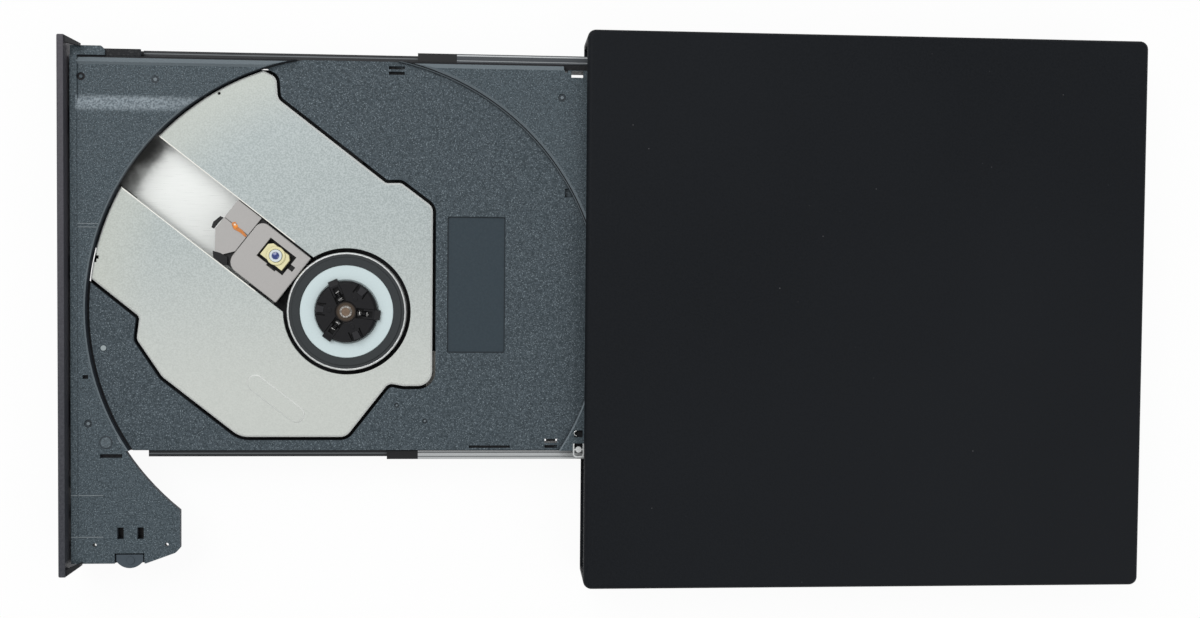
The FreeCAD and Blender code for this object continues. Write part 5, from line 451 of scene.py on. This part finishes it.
def brushed(name, tone, roughness, turn=0.0, metallic=1.0):
    """Bare metal with fine brush lines."""
    base = colour(*tone)
    surface = Surface(name, base, roughness, metallic)
    surface.soften(0.06)
    surface.grain = surface.streaks(6, 0.08, turn)
    surface.ground(surface.mix(surface.grain, shaded(base, 0.86), base))
    surface.set("Roughness", surface.ramp(surface.grain, 0.3, 0.7, roughness * 0.8, roughness * 1.25))
    surface.bump(surface.grain, 0.004, 0.5)
    return surface


def polished(name, tone, roughness):
    """Turned or drawn metal with faint wear."""
    surface = Surface(name, colour(*tone), roughness, 1.0)
    surface.soften(0.06)
    wear = surface.noise(0.6, 4.0)
    surface.set("Roughness", surface.ramp(wear, 0.35, 0.7, roughness, roughness + 0.14))
    surface.bump(wear, 0.002, 0.4)
    return surface


def striped(name, tone, roughness, metallic, lines):
    """Strip metal or plastic with thin lines along its length: lighter ones are painted highlights, darker ones
    painted shade.
    """
    surface = brushed(name, tone, roughness, metallic=metallic)
    surface.set("Specular IOR Level", 0.3)
    for low, high, line_tone in lines:
        # Each lighter line is a painted highlight, each darker line painted shade
        surface.paint(surface.band(surface.axis("Y"), low, high), colour(*line_tone))
    return surface


def housing_plastic():
    """Near-black plastic with a fine leather-like grain and a few pale specks."""
    surface = Surface("housing_plastic", colour(18, 20, 24), 0.55)
    surface.set("Specular IOR Level", 0.1)
    surface.soften(0.35)
    fine = surface.noise(0.45, 4.0)
    surface.ground(surface.mix(surface.noise(60), colour(14, 17, 21), colour(22, 25, 29)))
    surface.paint(surface.ramp(fine, 0.3, 0.7, 0.0, 0.3), colour(36, 38, 42))
    specks = surface.ramp(surface.cells(4), 0.0, 0.05, 1.0, 0.0)
    rare = surface.ramp(surface.noise(9), 0.52, 0.6)
    surface.paint(surface.product(specks, rare), colour(104, 104, 106))
    surface.set("Roughness", surface.ramp(fine, 0.3, 0.7, 0.45, 0.65))
    surface.bump(surface.cells(0.8), 0.05, 0.35)
    surface.bump(fine, 0.06, 0.6)
    return surface


def tray_plastic():
    """Blue-grey plastic with a pale speckle, painted black shade in its pockets, painted highlights and shade on
    its edges, slope and marks, and smooth on its flat panel.
    """
    surface = Surface("tray_plastic", colour(70, 80, 86), 0.5)
    surface.set("Specular IOR Level", 0.3)
    surface.soften(0.12)
    surface.grain = surface.noise(0.45, 3.0)
    panel = surface.inside(*PANEL)
    paint_floor_and_deck(surface, panel)
    paint_panel(surface, panel)
    paint_slope_highlight(surface)
    paint_edge_highlights_and_wall_shade(surface)
    paint_mark_shade_and_highlights(surface)
    paint_hollow_shade_and_edge_highlight(surface)
    surface.set("Roughness", surface.ramp(surface.cells(0.7), 0.1, 0.6, 0.42, 0.62))
    calm = surface.without(surface.product(panel, 0.8))
    surface.bump(surface.product(surface.grain, calm), 0.1, 0.7)
    return surface


def paint_floor_and_deck(surface, panel):
    """The disc floor, the slightly paler deck, and the speckle that stays off the panel."""
    blots = surface.ramp(surface.grain, 0.3, 0.7)
    surface.ground(surface.mix(blots, colour(42, 53, 59), colour(68, 79, 86)))
    deck = surface.above(surface.axis("Z"), FLOOR_BELOW)
    surface.paint(deck, surface.mix(blots, colour(48, 59, 65), colour(72, 84, 91)))
    speckle = surface.ramp(surface.noise(0.26), 0.54, 0.72)
    surface.paint(surface.product(speckle, surface.without(panel)), colour(120, 132, 139))


def paint_panel(surface, panel):
    """The flat panel and its dark border."""
    surface.paint(panel, surface.mix(surface.grain, colour(40, 52, 60), colour(50, 63, 71)))
    border = surface.maths("SUBTRACT", panel, surface.inside(*PANEL_FIELD))
    surface.paint(border, colour(32, 40, 46), 0.7)


def paint_slope_highlight(surface):
    """A painted highlight on the sloping band where it catches the light, soft at its sides and fading to the
    right.
    """
    along, across = SLOPE
    side = surface.axis("Y")
    share = surface.product(
        surface.inside(along, across),
        surface.above(surface.radius(), REACH),
        surface.ramp(side, across[0], across[0] + SLOPE_EDGE),
        surface.ramp(side, across[1] - SLOPE_EDGE, across[1], 1.0, 0.0),
        surface.ramp(surface.axis("X"), along[1] - SLOPE_FADE, along[1], 1.0, 0.2),
    )
    blots = surface.ramp(surface.grain, 0.35, 0.65)
    # Painted highlight on the sloping band
    surface.paint(share, surface.mix(blots, colour(92, 103, 110), colour(138, 149, 156)))


def paint_edge_highlights_and_wall_shade(surface):
    """Painted highlights on the bevels and ridge tops, and painted shade on the upright walls."""
    up = surface.facing()
    # Painted highlight on the bevels
    surface.paint(surface.band(up, 0.45, 0.95), colour(102, 112, 118))
    # Painted shade on the upright walls
    surface.paint(surface.band(up, -0.45, 0.45), colour(50, 56, 63))
    # Painted highlight on the ridge tops
    surface.paint(surface.band(surface.axis("Z"), *RIDGES), colour(150, 158, 163), 0.5)


def paint_mark_shade_and_highlights(surface):
    """The round marks, each a painted shadow ring about a painted highlight on its core."""
    for x, y, core, ring, strength in MARKS:
        away = surface.radius(x, y)
        # Painted shadow ring
        surface.paint(surface.band(away, core, ring), colour(30, 35, 41), 0.6)
        # Painted highlight on the core
        surface.paint(surface.below(away, core), colour(150, 160, 166), strength)


def paint_hollow_shade_and_edge_highlight(surface):
    """Painted black shade in the pockets and the deep step, softer in the groove on the right, and a painted
    highlight on the recess's right edge.
    """
    height = surface.axis("Z")
    away = surface.radius()
    level = surface.above(surface.facing(), 0.5)
    sunk = surface.product(surface.below(height, POCKET_BELOW), surface.above(away, REACH), level)
    deep = surface.product(surface.below(height, DEEP_BELOW), level)
    right = surface.ramp(surface.axis("X"), *RIGHT_FADE)
    groove = surface.product(right, surface.band(away, *GROOVE_RADII), 0.75)
    # Painted shade: black in the pockets and the deep step, lighter in the groove on the right
    black = surface.maths("SUBTRACT", surface.maths("MAXIMUM", sunk, deep), groove)
    surface.paint(surface.maths("MAXIMUM", black, 0.0), colour(17, 19, 23))
    # Painted highlight along the recess's right edge
    edge = surface.product(right, surface.band(away, *EDGE_RADII), surface.above(height, EDGE_ABOVE))
    surface.paint(edge, colour(118, 128, 135), 0.7)


def cover_metal():
    """Pale painted sheet with a fine sparkle, creamier along its round edge, painted brighter towards -Y, with
    painted highlights on its edges and along its slot.
    """
    surface = Surface("cover_metal", colour(212, 217, 214), 0.42, 0.15)
    surface.soften(0.22)
    fine = surface.noise(0.35, 3.0)
    surface.ground(surface.mix(surface.ramp(fine, 0.3, 0.7), colour(158, 168, 168), colour(186, 195, 195)))
    # Painted light: the plate brighter and warmer towards -Y
    lower = surface.ramp(surface.axis("Y"), *PLATE_LIGHT_FADE, 0.85, 0.0)
    surface.paint(lower, surface.mix(fine, colour(197, 201, 195), colour(213, 216, 210)))
    surface.paint(surface.ramp(surface.radius(), *CREAM_RADII, 0.0, 0.35), colour(206, 206, 190))
    # Painted highlight on the plate's tilted edge faces
    surface.paint(surface.band(surface.facing(), 0.2, 0.97), colour(240, 242, 240), 0.6)
    across = surface.along(FEED.cross(UP))
    beyond = surface.above(surface.along(FEED), SLOT_START)
    # Painted highlight lines along the slot's two edges
    for low, high in SLOT_EDGE_HIGHLIGHTS:
        line = surface.product(beyond, surface.band(across, low, high))
        surface.paint(line, colour(252, 250, 242), 0.8)
    surface.set("Roughness", surface.ramp(fine, 0.35, 0.65, 0.34, 0.5))
    surface.bump(fine, 0.02, 0.5)
    return surface


def slot_floor():
    """Bright brushed sheet below the pickup's slot, with a painted shadow at its far corner where the frame
    overhangs it.
    """
    surface = brushed("slot_floor", (214, 217, 214), 0.34, BRUSH_TURN, 0.3)
    surface.ground(surface.mix(surface.grain, colour(222, 225, 222), colour(246, 248, 246)))
    blots = surface.product(surface.noise(5, 3.0), SHADE_BLOTS)
    far = surface.maths("ADD", surface.along(FEED), blots)
    # Painted shadow at the far corner, under the frame's overhang
    surface.paint(surface.ramp(far, *SHADE_ALONG, 0.0, 0.92), colour(34, 33, 32))
    return surface


def lug_spring():
    """Dark blued spring wire with painted highlights in two rings of bright spots."""
    surface = Surface("lug_spring", colour(30, 30, 32), 0.3, 0.4)
    surface.soften(0.05)
    away = surface.radius()
    inner, outer = GLINT_RADII
    # Painted highlights: bright spots in two rings on the dark wire
    glints = surface.maths("ADD", surface.band(away, *inner), surface.band(away, *outer))
    wear = surface.noise(0.25)
    glints = surface.product(glints, surface.ramp(wear, 0.4, 0.55))
    surface.ground(surface.mix(glints, colour(28, 28, 30), colour(226, 226, 224)))
    surface.bump(wear, 0.01)
    return surface


def shaft_steel():
    """Ground steel round a tan core."""
    surface = Surface("shaft_steel", colour(214, 214, 212), 0.3, 0.5)
    surface.soften(0.05)
    wear = surface.noise(0.3, 3.0)
    surface.ground(surface.mix(surface.ramp(wear, 0.35, 0.65), colour(112, 106, 100), colour(206, 202, 196)))
    core = surface.below(surface.radius(), CORE_RADIUS)
    surface.paint(core, surface.mix(wear, colour(96, 80, 68), colour(150, 128, 108)))
    surface.bump(wear, 0.01)
    return surface


def clip_metal():
    """Bent bright sheet with painted shade, near black, down in its fold."""
    surface = Surface("clip_metal", colour(220, 222, 222), 0.3, 0.4)
    surface.soften(0.08)
    wear = surface.noise(0.4, 3.0)
    bright = surface.mix(wear, colour(196, 199, 199), colour(238, 240, 240))
    raised = surface.ramp(surface.axis("Z"), *FOLD_LEVELS)
    # Painted shade: near black below the fold's upper level
    surface.ground(surface.mix(raised, colour(30, 31, 33), bright))
    surface.bump(wear, 0.01)
    return surface


def hub_plastic():
    """Glossy black plastic, browned by grease round the shaft."""
    surface = moulded("hub_plastic", (22, 22, 24), 0.3, 0.5, 0.008, shine=0.25)
    surface.ground(surface.mix(surface.grain, colour(18, 18, 20), colour(28, 28, 31)))
    surface.paint(surface.ramp(surface.radius(), *GREASE_RADII, 0.8, 0.0), colour(88, 74, 60))
    return surface


def bezel_plastic():
    """Dark plastic front, painted darker towards -Y as light falls, with painted black shade on its inner side."""
    surface = moulded("bezel_plastic", (64, 64, 71), 0.5, 0.4, 0.03)
    # Painted light: darker towards -Y
    left = surface.ramp(surface.axis("Y"), *BEZEL_LIGHT_FADE)
    surface.ground(surface.mix(left, colour(52, 54, 60), colour(70, 68, 74)))
    surface.paint(surface.ramp(surface.grain, 0.35, 0.65, 0.0, 0.25), colour(92, 92, 98))
    # Painted shade: black on the inner side behind the bezel
    surface.paint(surface.above(surface.axis("X"), BEZEL_BACK), colour(24, 25, 28))
    return surface


def board_green():
    """Green circuit board with faint tracks under its lacquer."""
    surface = Surface("board_green", colour(28, 92, 58), 0.35)
    surface.soften(0.05)
    tracks = surface.add("ShaderNodeTexBrick")
    surface.feed(tracks.inputs["Vector"], surface.place)
    surface.feed(tracks.inputs["Scale"], 320.0)
    surface.feed(tracks.inputs["Mortar Size"], 0.03)
    surface.feed(tracks.inputs["Color1"], colour(30, 100, 62))
    surface.feed(tracks.inputs["Color2"], colour(24, 84, 52))
    surface.feed(tracks.inputs["Mortar"], colour(46, 122, 78))
    surface.ground(tracks.outputs["Color"])
    surface.bump(surface.noise(0.5), 0.01)
    return surface


def lens_glass():
    """Coated glass, deep blue with a paler rim."""
    surface = Surface("lens_glass", colour(30, 44, 110), 0.08)
    surface.ground(surface.mix(surface.noise(0.8, 1.0), colour(10, 14, 60), colour(50, 74, 150)))
    centre = (LENS - SPINDLE) / MM
    surface.paint(surface.ramp(surface.radius(centre.x, centre.y), *GLASS_RIM), colour(150, 164, 204))
    surface.set("Coat Weight", 1.0)
    surface.set("Coat Roughness", 0.03)
    return surface


def light_plastic():
    """Clear plastic with a green tint."""
    surface = moulded("light_plastic", (150, 170, 150), 0.15, depth=0.004)
    surface.set("Transmission Weight", 0.4)
    return surface


def make_materials():
    """All materials by the names they are given here. Blender adds a number where the frame has one too."""
    surfaces = [look() for look in (
        housing_plastic, tray_plastic, cover_metal, slot_floor, lug_spring, shaft_steel, clip_metal,
        hub_plastic, bezel_plastic, board_green, lens_glass, light_plastic,
    )]
    for table, make in ((MOULDED, moulded), (BRUSHED, brushed), (POLISHED, polished), (STRIPED, striped)):
        surfaces += [make(name, *values) for name, values in table.items()]
    return {surface.name: surface.material for surface in surfaces}


def dress_nodes(materials):
    """Gives every carried node its own look, or else its slot's."""
    for row in frame["record"]["subparts"]:
        node = frame["nodes"][row["node"]]
        look = NODE_LOOKS.get(row["node"], row["material_slot"])
        if not node.material_slots:
            node.data.materials.append(None)
        for slot in node.material_slots:
            slot.link = "OBJECT"
            slot.material = materials[look]
        for face in node.data.polygons:
            face.use_smooth = False


def placed(mesh, name, material, body):
    """Turns a finished mesh into a piece that rides on a body."""
    bmesh.ops.recalc_face_normals(mesh, faces=mesh.faces)
    data = bpy.data.meshes.new(name)
    mesh.to_mesh(data)
    mesh.free()
    piece = bpy.data.objects.new(name, data)
    bpy.context.scene.collection.objects.link(piece)
    data.materials.append(material)
    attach(piece, body)
    return piece


def bridge(mesh, first, second):
    """Joins two closed rows of points with faces."""
    for index in range(len(first)):
        after = (index + 1) % len(first)
        mesh.faces.new((first[index], second[index], second[after], first[after]))


def turned(name, centre, profile, material, body, sweep=math.tau, start=0.0):
    """A piece turned about an upright line from a closed profile of radii and levels."""
    full = sweep == math.tau
    mesh = bmesh.new()
    sections = []
    for step in range(TURN_STEPS if full else TURN_STEPS + 1):
        angle = start + sweep * step / TURN_STEPS
        section = []
        for radius, level in profile:
            x = centre.x + radius * MM * math.cos(angle)
            y = centre.y + radius * MM * math.sin(angle)
            section.append(mesh.verts.new((x, y, level * MM)))
        sections.append(section)
    for first, second in zip(sections, sections[1:]):
        bridge(mesh, first, second)
    if full:
        bridge(mesh, sections[-1], sections[0])
    else:
        mesh.faces.new(sections[0])
        mesh.faces.new(list(reversed(sections[-1])))
    bmesh.ops.remove_doubles(mesh, verts=mesh.verts, dist=MERGE * MM)
    return placed(mesh, name, material, body)


def extruded(name, outline, levels, material, body, edge=SOFT_EDGE):
    """A flat piece from its outline and its two levels, with softened upper edges."""
    bottom, top = levels
    places = [from_axis(x, y) for x, y in outline]
    centre = sum(places, Vector()) / len(places)
    mesh = bmesh.new()
    rows = []
    for level, inset in ((bottom, 0.0), (top - edge, 0.0), (top, edge)):
        row = []
        for place in places:
            inward = (centre - place).normalized() * inset * MM
            row.append(mesh.verts.new((place.x + inward.x, place.y + inward.y, level * MM)))
        rows.append(row)
    for lower, upper in zip(rows, rows[1:]):
        bridge(mesh, upper, lower)
    mesh.faces.new(rows[0])
    mesh.faces.new(rows[-1])
    return placed(mesh, name, material, body)


def rounded(inner, outer, bottom, top, edge):
    """A ring's profile with its upper edges rounded off."""
    return (
        (inner, bottom), (inner, top - edge), (inner + edge, top),
        (outer - edge, top), (outer, top - edge), (outer, bottom),
    )


def claw_outline(degrees):
    """The outline of one of the hub's plain claws."""
    turn = math.radians(degrees)
    outline = []
    for reach, side in CLAW_PLAN:
        x = reach * math.cos(turn) - side * math.sin(turn)
        y = reach * math.sin(turn) + side * math.cos(turn)
        outline.append((x, y))
    return outline


def wire_profile():
    """The hook's round section."""
    profile = []
    for step in range(WIRE_SIDES):
        angle = math.tau * step / WIRE_SIDES
        radius = HOOK_RADIUS + WIRE_RADIUS * math.cos(angle)
        profile.append((radius, HOOK_LEVEL + WIRE_RADIUS * math.sin(angle)))
    return profile


def lens_pieces(materials):
    """The white ring and the yellow seat round the lens."""
    white = materials["lens_ring_plastic"]
    yellow = materials["lens_holder_plastic"]
    turned("lens_ring", LENS, rounded(*LENS_RING), white, "lens")
    turned("lens_seat", LENS, rounded(*LENS_SEAT), yellow, "lens")


def solder_pieces(materials):
    """The solder on the pickup's flexible circuit."""
    orange = materials["solder_orange"]
    pale = materials["solder_pale"]
    turned("flex_solder", from_axis(*SOLDER_PLACE), SOLDER_PROFILE, orange, "pickup")
    turned("solder_bead", from_axis(*BEAD_PLACE), BEAD_PROFILE, pale, "pickup")


def end_plate_shade_pieces(materials):
    """Black pieces that stand as painted shade in the dark openings of the pickup's end plate."""
    black = materials["black_plastic"]
    # Painted shade: black pieces in place of the openings' shade
    extruded("end_plate_notch", NOTCH, END_PLATE_LEVELS, black, "pickup")
    extruded("end_plate_pocket", POCKET, END_PLATE_LEVELS, black, "pickup")


def strip_joint(materials):
    """The black joint in the strip left of the tray."""
    black = materials["black_plastic"]
    extruded("strip_joint", STRIP_JOINT, STRIP_JOINT_LEVELS, black, "tray")


def cup_rim(materials):
    """The bright rim of the spindle's cup."""
    steel = materials["cup_rim_steel"]
    turned("cup_rim", SPINDLE, rounded(*CUP_RIM), steel, "spindle")


def hub_claws(materials):
    """The hub's plain claws."""
    plastic = materials["claw_plastic"]
    for index, angle in enumerate(CLAW_ANGLES):
        name = f"hub_claw_{index + 1}"
        outline = claw_outline(angle)
        extruded(name, outline, CLAW_LEVELS, plastic, "spindle", CLAW_EDGE)


def hook_wire(materials):
    """The bent wire beside the clip."""
    steel = materials["hook_steel"]
    place = from_axis(*HOOK_PLACE)
    turned("hook_wire", place, wire_profile(), steel, "tray", HOOK_SWEEP, HOOK_START)


def white_floor():
    """A white floor that glows where it is seen and keeps the object's soft shadow."""
    place = (0, 0, -FLOOR_DROP)
    bpy.ops.mesh.primitive_circle_add(vertices=64, radius=FLOOR_RADIUS, fill_type="NGON", location=place)
    floor = bpy.context.object
    floor.name = "floor"
    surface = Surface("floor_white", (0.9, 0.9, 0.9, 1.0), 0.9)
    white = surface.add("ShaderNodeEmission")
    white.inputs["Color"].default_value = (1, 1, 1, 1)
    path = surface.add("ShaderNodeLightPath")
    seen = surface.maths("MAXIMUM", path.outputs["Is Camera Ray"], path.outputs["Is Glossy Ray"])
    blend = surface.add("ShaderNodeMixShader")
    surface.feed(blend.inputs["Fac"], surface.product(seen, FLOOR_GLOW))
    surface.feed(blend.inputs[1], surface.shader.outputs["BSDF"])
    surface.feed(blend.inputs[2], white.outputs["Emission"])
    output = surface.tree.nodes["Material Output"]
    surface.feed(output.inputs["Surface"], blend.outputs["Shader"])
    floor.data.materials.append(surface.material)


def white_world():
    """A white world that is brighter where it is seen than where it lights the object."""
    world = bpy.data.worlds.new("studio")
    bpy.context.scene.world = world
    world.use_nodes = True
    tree = world.node_tree
    back = tree.nodes["Background"]
    back.inputs["Color"].default_value = (1, 1, 1, 1)
    path = tree.nodes.new("ShaderNodeLightPath")
    level = tree.nodes.new("ShaderNodeMapRange")
    level.inputs["To Min"].default_value = WORLD_LIGHT
    level.inputs["To Max"].default_value = 1.0
    tree.links.new(path.outputs["Is Camera Ray"], level.inputs["Value"])
    tree.links.new(level.outputs["Result"], back.inputs["Strength"])


def lamps():
    """Broad soft lamps that look at the object."""
    for name, place, width, power in LAMPS:
        lamp = bpy.data.lights.new(name, "AREA")
        lamp.size = width
        lamp.energy = power
        holder = bpy.data.objects.new(name, lamp)
        holder.location = place
        holder.rotation_euler = (-Vector(place)).to_track_quat("-Z", "Y").to_euler()
        bpy.context.scene.collection.objects.link(holder)


def camera():
    """The view from above."""
    data = bpy.data.cameras.new("view")
    data.sensor_width = SENSOR
    data.lens = FOCAL_PIXELS / IMAGE_WIDTH * SENSOR
    data.clip_start = CAMERA_NEAR
    holder = bpy.data.objects.new("view", data)
    holder.location = CAMERA_PLACE
    holder.rotation_euler = [math.radians(angle) for angle in CAMERA_TURN]
    bpy.context.scene.collection.objects.link(holder)
    bpy.context.scene.camera = holder


camera()
white_floor()
white_world()
lamps()
MATERIALS = make_materials()
dress_nodes(MATERIALS)
for make in (lens_pieces, solder_pieces, end_plate_shade_pieces, strip_joint, cup_rim, hub_claws, hook_wire):
    make(MATERIALS)

bpy.context.scene.view_settings.view_transform = "Standard"
